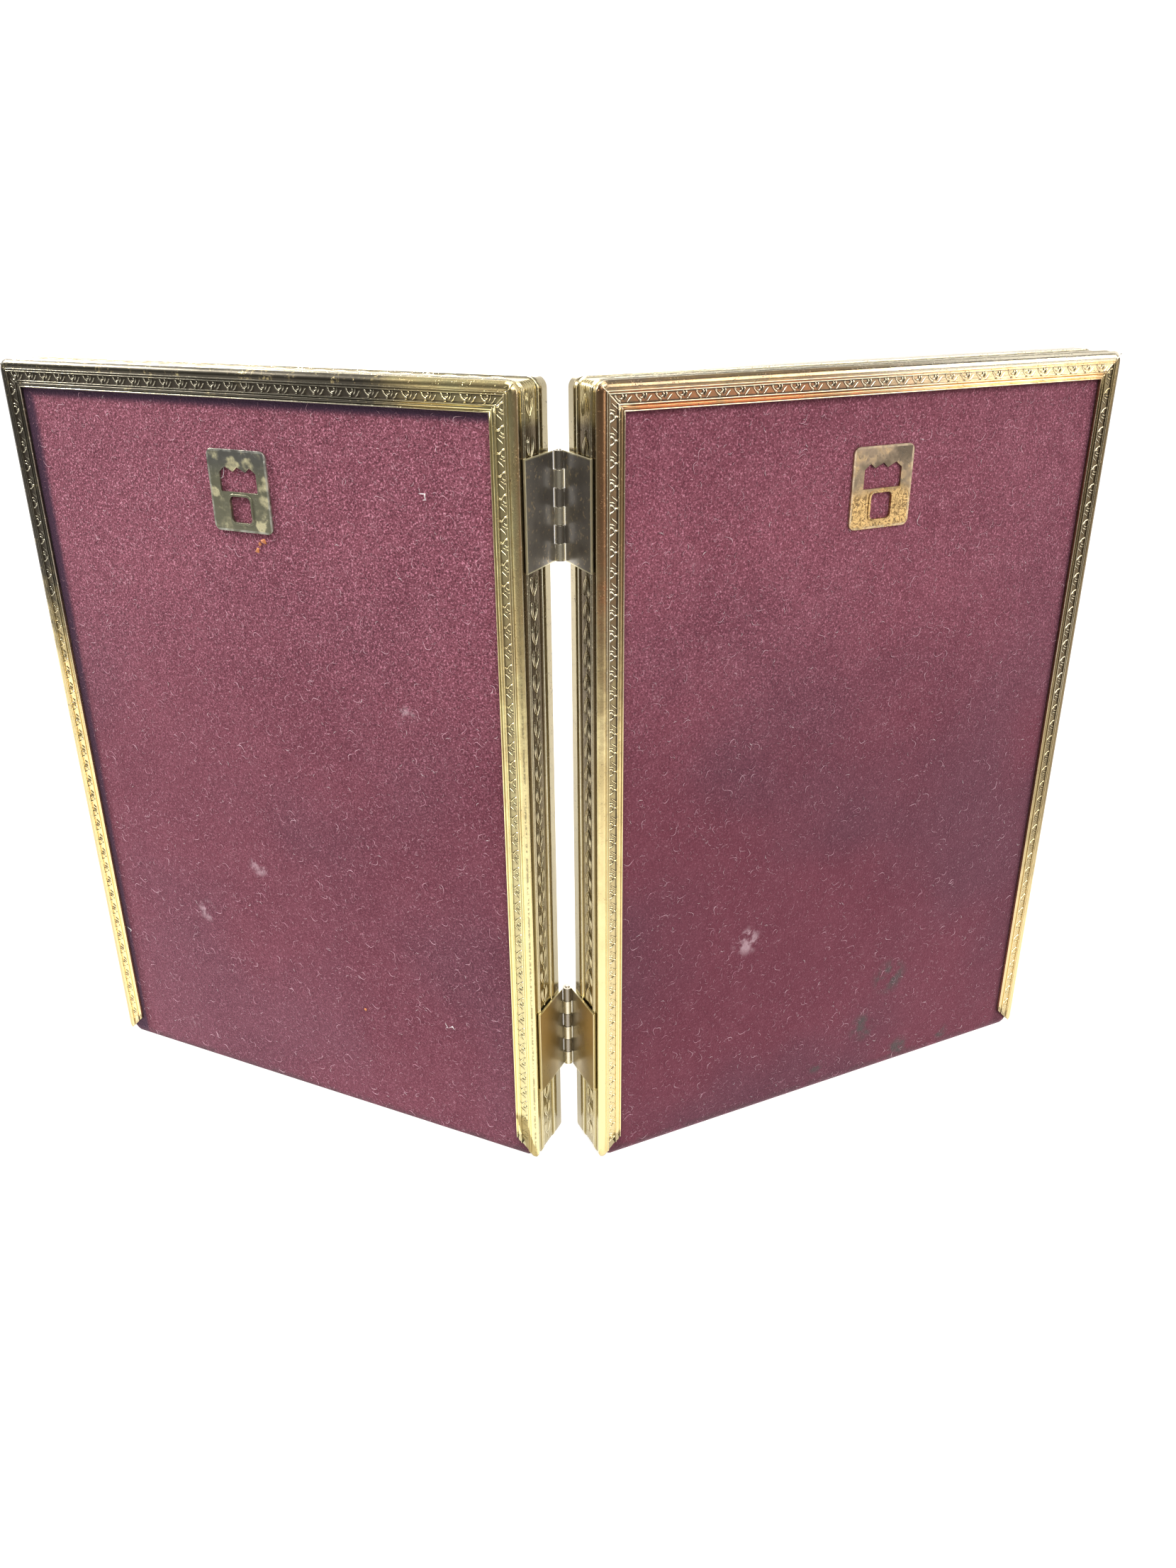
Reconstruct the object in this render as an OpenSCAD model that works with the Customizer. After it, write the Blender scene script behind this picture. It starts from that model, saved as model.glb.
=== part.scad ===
// Hinged double photo frame: two brass strip frames that fold like a book.
// Each leaf is modelled lying on its back: X runs from the hinge side across the leaf, Y runs up
// it, and Z runs from the plane of its back flange to the front. stand() puts it in its place.

/* [Photo and glass] */
// Width of the photo and of its glass
photo_w = 127; // [80:1:160]
// Height of the photo and of its glass
photo_h = 178; // [120:1:220]
// Thickness of the glass
glass_t = 2; // [1.5:0.1:2.5]
// Thickness of the photo insert card
card_t = 0.4; // [0.2:0.05:0.8]
// Room between the glass and the frame, on each side
pocket_gap = 1.65; // [1.2:0.05:2.5]

/* [Frame strip] */
// Depth of a leaf, from the back flange to the front bead
leaf_d = 14; // [13:0.25:18]
// Thickness of the rolled brass strip
sheet = 0.5; // [0.4:0.05:0.6]
// Height of the rolled lines above the bands between them
relief = 0.35; // [0.25:0.05:0.45]
// Outside radius of the bends at the four corners
bend_r = 2.4; // [2:0.1:3]
// Lap of the strip's ends over each other at a mitre
mitre_lap = 0.1; // [0.05:0.05:0.2]
// Width of the small steps beside the rolled lines
groove = 0.2; // [0.15:0.05:0.25]

/* [Back flange] */
// Width of the plain rounded bead at the outer edge
edge_bead_w = 1.8; // [1.6:0.1:2.2]
// Drop of the edge bead to the ridge at the corner
edge_bead_drop = 0.8; // [0.6:0.05:1]
// Width of the double line beside the edge bead
flange_pair_w = 0.7; // [0.6:0.05:0.9]
// Width of the scroll band
scroll_band_w = 1.8; // [1.4:0.1:2]
// Width of the narrow bead inside the scroll band
narrow_bead_w = 0.95; // [0.7:0.05:1.2]
// Width of the bright lip at the inner edge
flange_lip_w = 0.3; // [0.2:0.05:0.4]

/* [Side wall] */
// Width of the ridge where the back flange meets the wall
corner_ridge_w = 0.3; // [0.2:0.05:0.5]
// Width of the plain strip at the back of the wall
plain_strip_w = 1.7; // [1.2:0.1:2]
// Width of the double line behind the garland band
wall_pair_w = 1.1; // [0.8:0.1:1.3]
// Width of the line in front of the garland band
wall_line_w = 0.7; // [0.5:0.05:0.9]
// Width of the plain bead at the front of the wall
front_bead_w = 4.1; // [3.8:0.1:4.4]
// Outside radius of the bend between the bead and the front
front_bead_r = 1; // [0.9:0.1:1.2]

/* [Front moulding] */
// Width of the front moulding, from the outside to the sight edge
front_w = 7.5; // [7:0.25:9]
// Width of the plain strip along the outside of the front
front_strip_w = 1.9; // [1.7:0.1:2]
// Width of the scroll band on the front
front_band_w = 1.8; // [1.4:0.1:2]
// Depth of the sight edge below the front
front_drop = 1.9; // [1.5:0.1:2.3]
// Width of the bead at the sight edge
sight_bead_w = 0.7; // [0.5:0.05:0.9]
// Width of each single rolled line
line_w = 0.25; // [0.2:0.05:0.3]

/* [Back board] */
// Thickness of the back board
board_t = 1.8; // [1.5:0.1:2]
// Thickness of the velvet cover, with its pile
velvet_t = 0.7; // [0.5:0.05:0.8]
// Room beside the board in its slideway, at each side and at the top
board_side_gap = 0.5; // [0.3:0.05:0.8]
// Room behind and in front of the board in its slideway
board_face_gap = 0.15; // [0.1:0.05:0.25]
// Height of the board's lower edge above the table
board_foot = 0.4; // [0.2:0.1:0.8]
// Room between the slideway and the filler board
filler_gap = 0.05; // [0.05:0.05:0.3]

/* [Hanger plate] */
// Width of the hanger plate
hanger_w = 15.6; // [15:0.2:18]
// Height of the hanger plate
hanger_h = 17.4; // [17.2:0.2:20]
// Thickness of the hanger plate
hanger_t = 0.5; // [0.4:0.05:0.6]
// Corner radius of the hanger plate
hanger_r = 1.5; // [1:0.25:2]
// Distance of the hanger plate's top below the top of the leaf
hanger_drop = 16.2; // [12:0.2:30]
// Sideways offset of the hanger plate, away from the hinge side
hanger_offset = 1.5; // [0:0.5:5]
// Width of the toothed window
window_w = 9.7; // [9:0.1:11]
// Lower edge of the toothed window, below the top of the plate
window_low = 8.9; // [8.6:0.1:9.2]
// Height of the window's plain sides
window_side_h = 4.1; // [3.5:0.1:4.5]
// Height from the plain sides to the notches
shoulder_h = 1.2; // [1.1:0.1:1.5]
// Depth of the notches above the tooth tips
tooth_h = 1; // [0.7:0.1:1.3]
// Distance between notches
tooth_pitch = 3.3; // [3:0.05:3.5]
// Width of the lower hole
eye_w = 5.4; // [4.5:0.1:6]
// Height of the lower hole
eye_h = 5.6; // [4.6:0.1:5.8]
// Corner radius of the lower hole
eye_r = 1; // [0.5:0.1:1.5]
// Width and height of the drawn rim round the lower hole
eye_rim = 0.45; // [0.3:0.05:0.6]
// Bridge between the toothed window and the lower hole
bridge_h = 0.45; // [0.4:0.05:0.6]
// Width of each prong that is bent through the board
prong_w = 2.4; // [2:0.1:3]
// Length of the prong that is clinched against the board
clinch_l = 3; // [2:0.25:4]
// Room round a prong in its slit
slit_gap = 0.1; // [0.05:0.05:0.2]

/* [Hinges] */
// Height of each hinge
hinge_h = 22.2; // [18:0.2:28]
// Middle of the upper hinge, below the top of the leaf
hinge_drop = 25.4; // [20:0.2:35]
// Middle of the lower hinge, above the bottom of the leaf
hinge_rise = 31; // [20:0.5:35]
// Number of knuckles on each hinge
knuckle_count = 6; // [4:1:8]
// Outside radius of a knuckle
knuckle_r = 1.15; // [1.1:0.05:1.4]
// Radius of the hinge pin
pin_r = 0.6; // [0.5:0.05:0.7]
// Running clearance between the pin and the turning knuckles
pin_gap = 0.05; // [0.03:0.01:0.08]
// Room between neighbouring knuckles
knuckle_gap = 0.15; // [0.1:0.05:0.25]
// Distance of the hinge plate's back edge from the back of the leaf
plate_inset = 2.35; // [1.5:0.05:3]
// Distance of the pin in front of the leaf
pin_lead = 1.6; // [1.4:0.1:2.2]

/* [Stance] */
// Angle between the two fronts as the frame stands
open_angle = 130; // [90:5:180]

/* [Hidden] */
$fn = 48;

wall = relief + sheet;
pocket_w = photo_w + 2 * pocket_gap;
leaf_w = pocket_w + 2 * wall;
leaf_h = photo_h + 2 * pocket_gap + 2 * wall;
corner_cut = bend_r - wall;

// Stations across the back flange, from its inner edge outwards
flange_w = flange_lip_w + narrow_bead_w + line_w + scroll_band_w + flange_pair_w + edge_bead_w;
bead_in = flange_w - flange_lip_w;
bead_out = bead_in - narrow_bead_w;
scroll_in = bead_out - line_w;
scroll_out = scroll_in - scroll_band_w;

// Stations along the side wall, from the back to the front
ridge_end = edge_bead_drop + corner_ridge_w;
strip_end = ridge_end + plain_strip_w;
garland_start = strip_end + wall_pair_w;
front_bead_start = leaf_d - front_bead_w;
front_bead_flat = front_bead_start + 0.3 * front_bead_w;
front_bead_mid = leaf_d - front_bead_r;
garland_end = front_bead_start - wall_line_w;

// Stations across the front moulding, from the outside inwards
front_band_out = front_strip_w + groove + line_w;
front_band_in = front_band_out + front_band_w;
cove_out = front_band_in + line_w;
cove_in = front_w - sight_bead_w;
sight_d = leaf_d - front_drop;

// Depths of the pieces in a leaf
velvet_d = wall + board_face_gap;
board_d = velvet_d + velvet_t;
board_in_d = board_d + board_t;
slideway_d = board_in_d + hanger_t + board_face_gap;
glass_in_d = sight_d - sheet;
card_d = glass_in_d - glass_t;
filler_in_d = card_d - card_t;
filler_d = slideway_d + filler_gap;
board_w = pocket_w - 2 * board_side_gap;
board_h = leaf_h - wall - board_side_gap - board_foot;

// Places on the hanger plate
hanger_x = leaf_w / 2 + hanger_offset;
hanger_top = leaf_h - hanger_drop;
window_floor = hanger_top - window_low;
eye_mid = window_floor - bridge_h - eye_rim - eye_h / 2;
prong_x = window_w / 4;

// Places of the hinges
wall_gap = knuckle_r;
pin_d = leaf_d + pin_lead;
plate_t = knuckle_r - pin_r - pin_gap;
upper_hinge = leaf_h - hinge_drop - hinge_h / 2;
lower_hinge = hinge_rise - hinge_h / 2;
knuckle_h = (hinge_h - (knuckle_count - 1) * knuckle_gap) / knuckle_count;

// The pin's place puts the middle of the standing frame at the origin
rest_turn = (180 - open_angle) / 2;
back_reach = (pin_d - edge_bead_drop) * cos(rest_turn) - wall_gap * sin(rest_turn);
front_reach = front_bead_r + (leaf_w - front_bead_r + wall_gap) * sin(rest_turn)
    + (front_bead_mid - pin_d) * cos(rest_turn);
pin_y = (front_reach - back_reach) / 2;

brass = "#c79a4b";
worn_brass = "#a8793c";
grey_brass = "#8f8a63";
burgundy = "#7a3f50";
greyboard = "#a08f78";
paper = "#f2efe8";

function turned(v, a) = [v.x * cos(a) - v.y * sin(a), v.x * sin(a) + v.y * cos(a)];

// Points on the arc from a to b that bulges to the left of the way by rise
function arc(a, b, rise, steps) =
    let (
        chord = norm(b - a),
        r = (pow(chord / 2, 2) + pow(rise, 2)) / (2 * abs(rise)),
        out = [a.y - b.y, b.x - a.x] / chord * sign(rise),
        mid = (a + b) / 2 - out * (r - abs(rise)),
        half = asin(chord / 2 / r) * sign(rise)
    )
    [for (i = [0:steps]) mid + turned(out * r, half * (1 - 2 * i / steps))];

// Points round the bend at the front, for angles from the wall's normal
function front_bend(inset, from, to, steps) =
    [for (i = [0:steps]) let (a = from + (to - from) * i / steps, r = front_bead_r - inset)
        [front_bead_r - r * cos(a), front_bead_mid + r * sin(a)]];

// The outside of the rolled strip: distance in from the outer face, then depth
function strip_outside() = concat(
    // back flange, from its inner edge outwards
    [[flange_w, 2 * groove], [bead_in + line_w / 2, groove / 2]],
    arc([bead_in, relief], [bead_out, relief], relief * 0.75, 5),
    [[bead_out, 0], [scroll_in, 0], [scroll_in, relief], [scroll_out, relief], [scroll_out, 0],
     [scroll_out - groove, 0], [scroll_out - groove, groove], [edge_bead_w + groove, groove],
     [edge_bead_w + groove, 0], [edge_bead_w, 0]],
    arc([edge_bead_w, relief * 0.7], [groove / 2, edge_bead_drop - groove / 4], relief * 0.8, 6),
    // side wall, from the back to the front
    [[0, edge_bead_drop], [0, ridge_end], [relief * 0.8, ridge_end + groove],
     [relief * 0.8, strip_end], [0, strip_end + groove / 2], [0, strip_end + wall_pair_w / 3],
     [groove, strip_end + wall_pair_w * 0.4], [groove, strip_end + wall_pair_w * 0.6],
     [0, strip_end + wall_pair_w * 2 / 3], [0, garland_start - groove / 2],
     [relief, garland_start], [relief, garland_end], [0, garland_end + groove / 2],
     [0, front_bead_start - groove]],
    // front bead and front moulding, to the sight edge
    arc([relief, front_bead_start], [0, front_bead_flat], relief / 4, 4),
    front_bend(0, 0, 90, 8),
    [[front_strip_w, leaf_d], [front_strip_w, leaf_d - relief],
     [front_strip_w + groove, leaf_d - relief],
     [front_strip_w + groove, leaf_d], [front_band_out, leaf_d],
     [front_band_out, leaf_d - relief], [front_band_in, leaf_d - relief],
     [front_band_in, leaf_d], [cove_out, leaf_d]],
    arc([cove_out, leaf_d - relief], [cove_in, sight_d + sheet], -relief, 5),
    arc([cove_in, sight_d + groove], [front_w, sight_d - groove], relief, 4)
);

// The inside of the strip, back from the sight edge to the flange
function strip_inside() = concat(
    [[front_w, glass_in_d], [cove_out + sheet, glass_in_d], [cove_out - sheet, leaf_d - wall],
     [front_strip_w - groove, leaf_d - wall]],
    front_bend(sheet, 90, 0, 6),
    [[sheet, front_bead_flat], [wall, front_bead_start], [wall, wall], [flange_w, wall]]
);

module strip_section() { polygon(concat(strip_outside(), strip_inside())); }

// One straight side of a frame, length l, with both ends mitred up to the bends
module strip_run(l) {
    deep = 2 * front_w;
    low = deep - mitre_lap;
    intersection() {
        translate([0, l, 0]) rotate([90, 0, 0]) linear_extrude(l) strip_section();
        translate([0, 0, -sheet]) linear_extrude(leaf_d + 2 * sheet)
            polygon([[-sheet, bend_r], [bend_r, bend_r], [bend_r, bend_r - mitre_lap], [deep, low],
                     [deep, l - low], [bend_r, l - bend_r + mitre_lap], [bend_r, l - bend_r],
                     [-sheet, l - bend_r]]);
    }
}

// The part of the section that goes round a bend, measured out from the bend's middle
module bend_section() {
    translate([bend_r, 0]) mirror([1, 0]) intersection() {
        strip_section();
        square([bend_r, leaf_d]);
    }
}

// One bent corner, round the upright line at [bend_r, bend_r], with a short lap at each end
module strip_bend() {
    translate([bend_r, bend_r, 0]) rotate([0, 0, 180]) {
        rotate_extrude(angle = 90) bend_section();
        rotate([90, 0, 0]) linear_extrude(mitre_lap) bend_section();
        rotate([0, 0, 90]) mirror([0, 1, 0]) rotate([90, 0, 0]) linear_extrude(mitre_lap)
            bend_section();
    }
}

module mirrored_across(w) {
    children();
    translate([w, 0, 0]) mirror([1, 0, 0]) children();
}

module mirrored_up(h) {
    children();
    translate([0, h, 0]) mirror([0, 1, 0]) children();
}

// The strip has no back flange along the bottom, where the board slides in
module slideway_cut() {
    deep = 2 * flange_w;
    translate([0, 0, -sheet]) linear_extrude(slideway_d + sheet)
        polygon([[-sheet, -sheet], [deep, deep], [leaf_w - deep, deep], [leaf_w + sheet, -sheet]]);
}

module frame_strip() {
    color(brass) difference() {
        union() {
            mirrored_across(leaf_w) strip_run(leaf_h);
            mirrored_up(leaf_h) translate([leaf_w, 0, 0]) rotate([0, 0, 90]) strip_run(leaf_w);
            mirrored_across(leaf_w) mirrored_up(leaf_h) strip_bend();
        }
        slideway_cut();
    }
}

// A sheet with its corners nipped off to clear the bends
module sheet_plate(w, h, t) {
    c = corner_cut;
    linear_extrude(t)
        polygon([[c, 0], [w - c, 0], [w, c], [w, h - c], [w - c, h], [c, h], [0, h - c], [0, c]]);
}

module pocket_sheet(from, to) {
    translate([wall + pocket_gap, wall, from]) sheet_plate(photo_w, photo_h, to - from);
}

module glass() { color("azure", 0.35) pocket_sheet(card_d, glass_in_d); }
module photo_insert() { color(paper) pocket_sheet(filler_in_d, card_d); }
module filler_board() { color(greyboard) pocket_sheet(filler_d, filler_in_d); }

// Both prongs of the hanger plate, with room round them where they need a slit
module prongs(from, to, room) {
    for (side = [-1, 1])
        translate([hanger_x + side * prong_x - prong_w / 2 - room,
                   window_floor - hanger_t - room, from])
            cube([prong_w + 2 * room, hanger_t + 2 * room, to - from]);
}

module back_sheet(from, to) {
    difference() {
        translate([wall + board_side_gap, board_foot, from])
            sheet_plate(board_w, board_h, to - from);
        prongs(from - slit_gap, to + slit_gap, slit_gap);
    }
}

module back_board() { color(greyboard) back_sheet(board_d, board_in_d); }
module velvet_cover() { color(burgundy) back_sheet(velvet_d, board_d); }

module rounded_rect(w, h, r) {
    square([w - 2 * r, h], center = true);
    square([w, h - 2 * r], center = true);
    for (x = [-1, 1], y = [-1, 1])
        translate([x * (w / 2 - r), y * (h / 2 - r)]) circle(r);
}

// The toothed window, with notches that lean one way like saw teeth
module toothed_window() {
    low = -window_low;
    shoulder = low + window_side_h;
    notch = shoulder + shoulder_h;
    first = -tooth_pitch;
    lean = tooth_pitch * 0.35;
    polygon([[-window_w / 2, low], [window_w / 2, low], [window_w / 2, shoulder],
             [first + 2 * tooth_pitch, notch],
             [first + tooth_pitch + lean, notch - tooth_h], [first + tooth_pitch, notch],
             [first + lean, notch - tooth_h], [first, notch], [-window_w / 2, shoulder]]);
}

module hanger_plate() {
    plate_d = velvet_d - hanger_t;
    color(grey_brass) {
        difference() {
            union() {
                translate([hanger_x, hanger_top - hanger_h / 2, plate_d])
                    linear_extrude(hanger_t) rounded_rect(hanger_w, hanger_h, hanger_r);
                translate([hanger_x, eye_mid, plate_d - eye_rim / 2])
                    linear_extrude(hanger_t)
                        rounded_rect(eye_w + 2 * eye_rim, eye_h + 2 * eye_rim, eye_r + eye_rim);
            }
            translate([hanger_x, hanger_top, plate_d - hanger_t]) linear_extrude(3 * hanger_t)
                toothed_window();
            translate([hanger_x, eye_mid, plate_d - hanger_t]) linear_extrude(3 * hanger_t)
                rounded_rect(eye_w, eye_h, eye_r);
        }
        prongs(plate_d, board_in_d, 0);
        for (side = [-1, 1])
            translate([hanger_x + side * prong_x - prong_w / 2, window_floor - clinch_l, board_in_d])
                cube([prong_w, clinch_l, hanger_t]);
    }
}

// Bottom of knuckle i, counted from the top of the hinge
function knuckle_low(i) = hinge_h - knuckle_h - i * (knuckle_h + knuckle_gap);

// One plate of a hinge, with every second knuckle from the given one
module hinge_plate(first, bore_r) {
    plate_front = pin_d - knuckle_r - knuckle_gap;
    color(worn_brass) difference() {
        union() {
            translate([-plate_t, 0, plate_inset])
                cube([plate_t, hinge_h, plate_front - plate_inset]);
            for (i = [first:2:knuckle_count - 1])
                translate([0, knuckle_low(i) + knuckle_h, 0]) rotate([90, 0, 0])
                    linear_extrude(knuckle_h) {
                        translate([-plate_t, plate_front - plate_t])
                            square([plate_t, pin_d - plate_front + plate_t]);
                        translate([-wall_gap, pin_d]) circle(knuckle_r);
                    }
        }
        translate([-wall_gap, hinge_h + pin_r, pin_d]) rotate([90, 0, 0])
            cylinder(hinge_h + 2 * pin_r, r = bore_r);
    }
}

module left_hinge_plate() { hinge_plate(0, pin_r); }
module right_hinge_plate() { hinge_plate(1, pin_r + pin_gap); }

// A plain pin with both ends broken by a small taper
module hinge_pin() {
    taper = pin_r / 3;
    color(brass) rotate_extrude()
        polygon([[0, -taper], [pin_r - taper, -taper], [pin_r, 0], [pin_r, hinge_h],
                 [pin_r - taper, hinge_h + taper], [0, hinge_h + taper]]);
}

module stand() {
    translate([0, pin_y, 0]) rotate([0, 0, -rest_turn])
        translate([wall_gap, pin_d, 0]) rotate([90, 0, 0]) children();
}

module right_leaf() { stand() children(); }
module left_leaf() { mirror([1, 0, 0]) stand() children(); }
module at_hinge(low) { translate([0, low, 0]) children(); }

left_leaf() frame_strip();  // left_frame_strip
left_leaf() glass();  // left_glass
left_leaf() photo_insert();  // left_photo_insert
left_leaf() filler_board();  // left_filler_board
left_leaf() back_board();  // left_back_board
left_leaf() velvet_cover();  // left_velvet_cover
left_leaf() hanger_plate();  // left_hanger_plate
right_leaf() frame_strip();  // right_frame_strip
right_leaf() glass();  // right_glass
right_leaf() photo_insert();  // right_photo_insert
right_leaf() filler_board();  // right_filler_board
right_leaf() back_board();  // right_back_board
right_leaf() velvet_cover();  // right_velvet_cover
right_leaf() hanger_plate();  // right_hanger_plate
left_leaf() at_hinge(upper_hinge) left_hinge_plate();  // upper_hinge_left_plate
right_leaf() at_hinge(upper_hinge) right_hinge_plate();  // upper_hinge_right_plate
translate([0, pin_y, upper_hinge]) hinge_pin();  // upper_hinge_pin
left_leaf() at_hinge(lower_hinge) left_hinge_plate();  // lower_hinge_left_plate
right_leaf() at_hinge(lower_hinge) right_hinge_plate();  // lower_hinge_right_plate
translate([0, pin_y, lower_hinge]) hinge_pin();  // lower_hinge_pin
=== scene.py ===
# %% [markdown]
# # A hinged double photo frame, seen from behind
# Two picture frames of rolled brass strip stand open like a book. Each has a glass, a card, a filler
# board and a velvet covered back board that slides up from below. This lesson dresses the plain solids
# of the model with the things a maker would see: rolled lines, ornament, worn plating, pile and lint.

import functools
import math

import bmesh
import bpy
import numpy as np
from mathutils import Matrix, Quaternion, Vector


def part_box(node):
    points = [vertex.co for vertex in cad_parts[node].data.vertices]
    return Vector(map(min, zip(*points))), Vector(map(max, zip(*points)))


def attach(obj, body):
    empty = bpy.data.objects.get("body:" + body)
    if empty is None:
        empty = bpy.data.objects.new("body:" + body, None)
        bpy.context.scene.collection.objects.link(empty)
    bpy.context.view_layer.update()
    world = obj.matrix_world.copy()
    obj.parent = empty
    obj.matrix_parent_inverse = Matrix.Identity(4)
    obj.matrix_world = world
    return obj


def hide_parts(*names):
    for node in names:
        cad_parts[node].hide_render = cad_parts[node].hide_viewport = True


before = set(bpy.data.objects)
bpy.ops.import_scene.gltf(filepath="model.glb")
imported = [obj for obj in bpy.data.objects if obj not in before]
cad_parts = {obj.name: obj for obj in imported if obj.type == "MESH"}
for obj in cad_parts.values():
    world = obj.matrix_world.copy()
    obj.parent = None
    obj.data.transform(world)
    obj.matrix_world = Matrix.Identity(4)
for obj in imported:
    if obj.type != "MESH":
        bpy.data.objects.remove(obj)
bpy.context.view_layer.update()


# %% Three helpers for everything that is made
FULL_TURN = 2 * math.pi


def new_mesh(name, points, faces, edges=(), smooth=True):
    mesh = bpy.data.meshes.new(name)
    mesh.from_pydata(points, edges, faces)
    if smooth:
        mesh.shade_smooth()
    return mesh


def add_object(name, data):
    made = bpy.data.objects.new(name, data)
    bpy.context.scene.collection.objects.link(made)
    return made


def merge(mesh, distance, clean):
    """Joins points that touch, cleans up and turns all faces outward; returns the open edges."""
    body = bmesh.new()
    body.from_mesh(mesh)
    bmesh.ops.remove_doubles(body, verts=body.verts, dist=distance)
    clean(body)
    bmesh.ops.recalc_face_normals(body, faces=body.faces)
    open_edges = sum(1 for e in body.edges if not e.is_manifold)
    body.to_mesh(mesh)
    body.free()
    return open_edges


# %% [markdown]
# ## The camera
# The picture was taken from behind, a little above the top of the frame, looking down. The camera's
# place and lens were worked out from the corners of the two leaves. It goes first, so that every later
# step can be looked at through it.

# %% Make the camera
def make_camera(place, forward, roll_deg, lens):
    forward = Vector(forward).normalized()
    level = forward.cross(Vector((0, 0, 1))).normalized()
    right = Quaternion(forward, math.radians(roll_deg)) @ level
    turn = Matrix((right, right.cross(forward), -forward)).transposed().to_4x4()
    turn.translation = place
    data = bpy.data.cameras.new("camera")
    data.lens = lens
    data.sensor_width = 36
    data.clip_start = 0.01
    data.clip_end = 50
    camera = add_object("camera", data)
    camera.matrix_world = turn
    bpy.context.scene.camera = camera
    return camera


camera = make_camera((-0.004718, 0.263458, 0.206129), (-0.00237, -0.91048, -0.41355), 0.393, 27.394)
print("camera at", [round(x, 3) for x in camera.matrix_world.translation])

# %% [markdown]
# ## One pair of hands for all nodes
# Node trees are written as sums. A Wire is one output socket: adding or multiplying it adds a Math
# node. A Graph is a node tree, and its one method makes any other node: first the kind, then its
# settings, then its sockets. Both the materials and the Geometry Nodes trees are made with it.

# %% Wires and graphs
class Wire:
    """One output socket that can be added, taken away, multiplied and divided."""

    def __init__(self, graph, socket):
        self.graph = graph
        self.socket = socket

    def sum(self, operation, a, b):
        return self.graph.node("ShaderNodeMath", {"operation": operation}, {0: a, 1: b})

    def __add__(self, other):
        return self.sum("ADD", self, other)

    def __sub__(self, other):
        return self.sum("SUBTRACT", self, other)

    def __rsub__(self, other):
        return self.sum("SUBTRACT", other, self)

    def __mul__(self, other):
        return self.sum("MULTIPLY", self, other)

    def __truediv__(self, other):
        return self.sum("DIVIDE", self, other)

    __radd__ = __add__
    __rmul__ = __mul__

    def most(self, other):
        return self.sum("MAXIMUM", self, other)

    def least(self, other):
        return self.sum("MINIMUM", self, other)

    def size(self):
        return self.sum("ABSOLUTE", self, 0.0)

    def step(self, low, high):
        """0 below low and 1 above high, or the other way round where low is the larger."""
        return self.graph.node("ShaderNodeMapRange", {"interpolation_type": "SMOOTHSTEP"},
                               {"Value": self, "From Min": low, "From Max": high})

    def hump(self, middle, half):
        """1 at the middle, 0 further than half from it."""
        return (self - middle).size().step(half, 0.0)


class Graph:
    """A node tree and the one method that adds a node to it."""

    def __init__(self, tree):
        self.tree = tree

    def node(self, kind, settings=None, sockets=None, out=0):
        made = self.tree.nodes.new(kind)
        for name, value in (settings or {}).items():
            setattr(made, name, value)
        for name, value in (sockets or {}).items():
            if isinstance(value, Wire):
                self.tree.links.new(value.socket, made.inputs[name])
            else:
                made.inputs[name].default_value = value
        return Wire(self, made.outputs[out])

    def outputs(self, wire, *names):
        """Other outputs of the node that a wire comes from."""
        return [Wire(self, wire.socket.node.outputs[n]) for n in names]


# %% [markdown]
# ## Finishes
# A Finish is a material in the making. It knows the object's own coordinates, the place on the leaf
# that each made piece carries in its "leaf" attribute, and how to mix two colours. What changes over
# the surface only goes into colour, roughness, metal and the surface normal.

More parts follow.
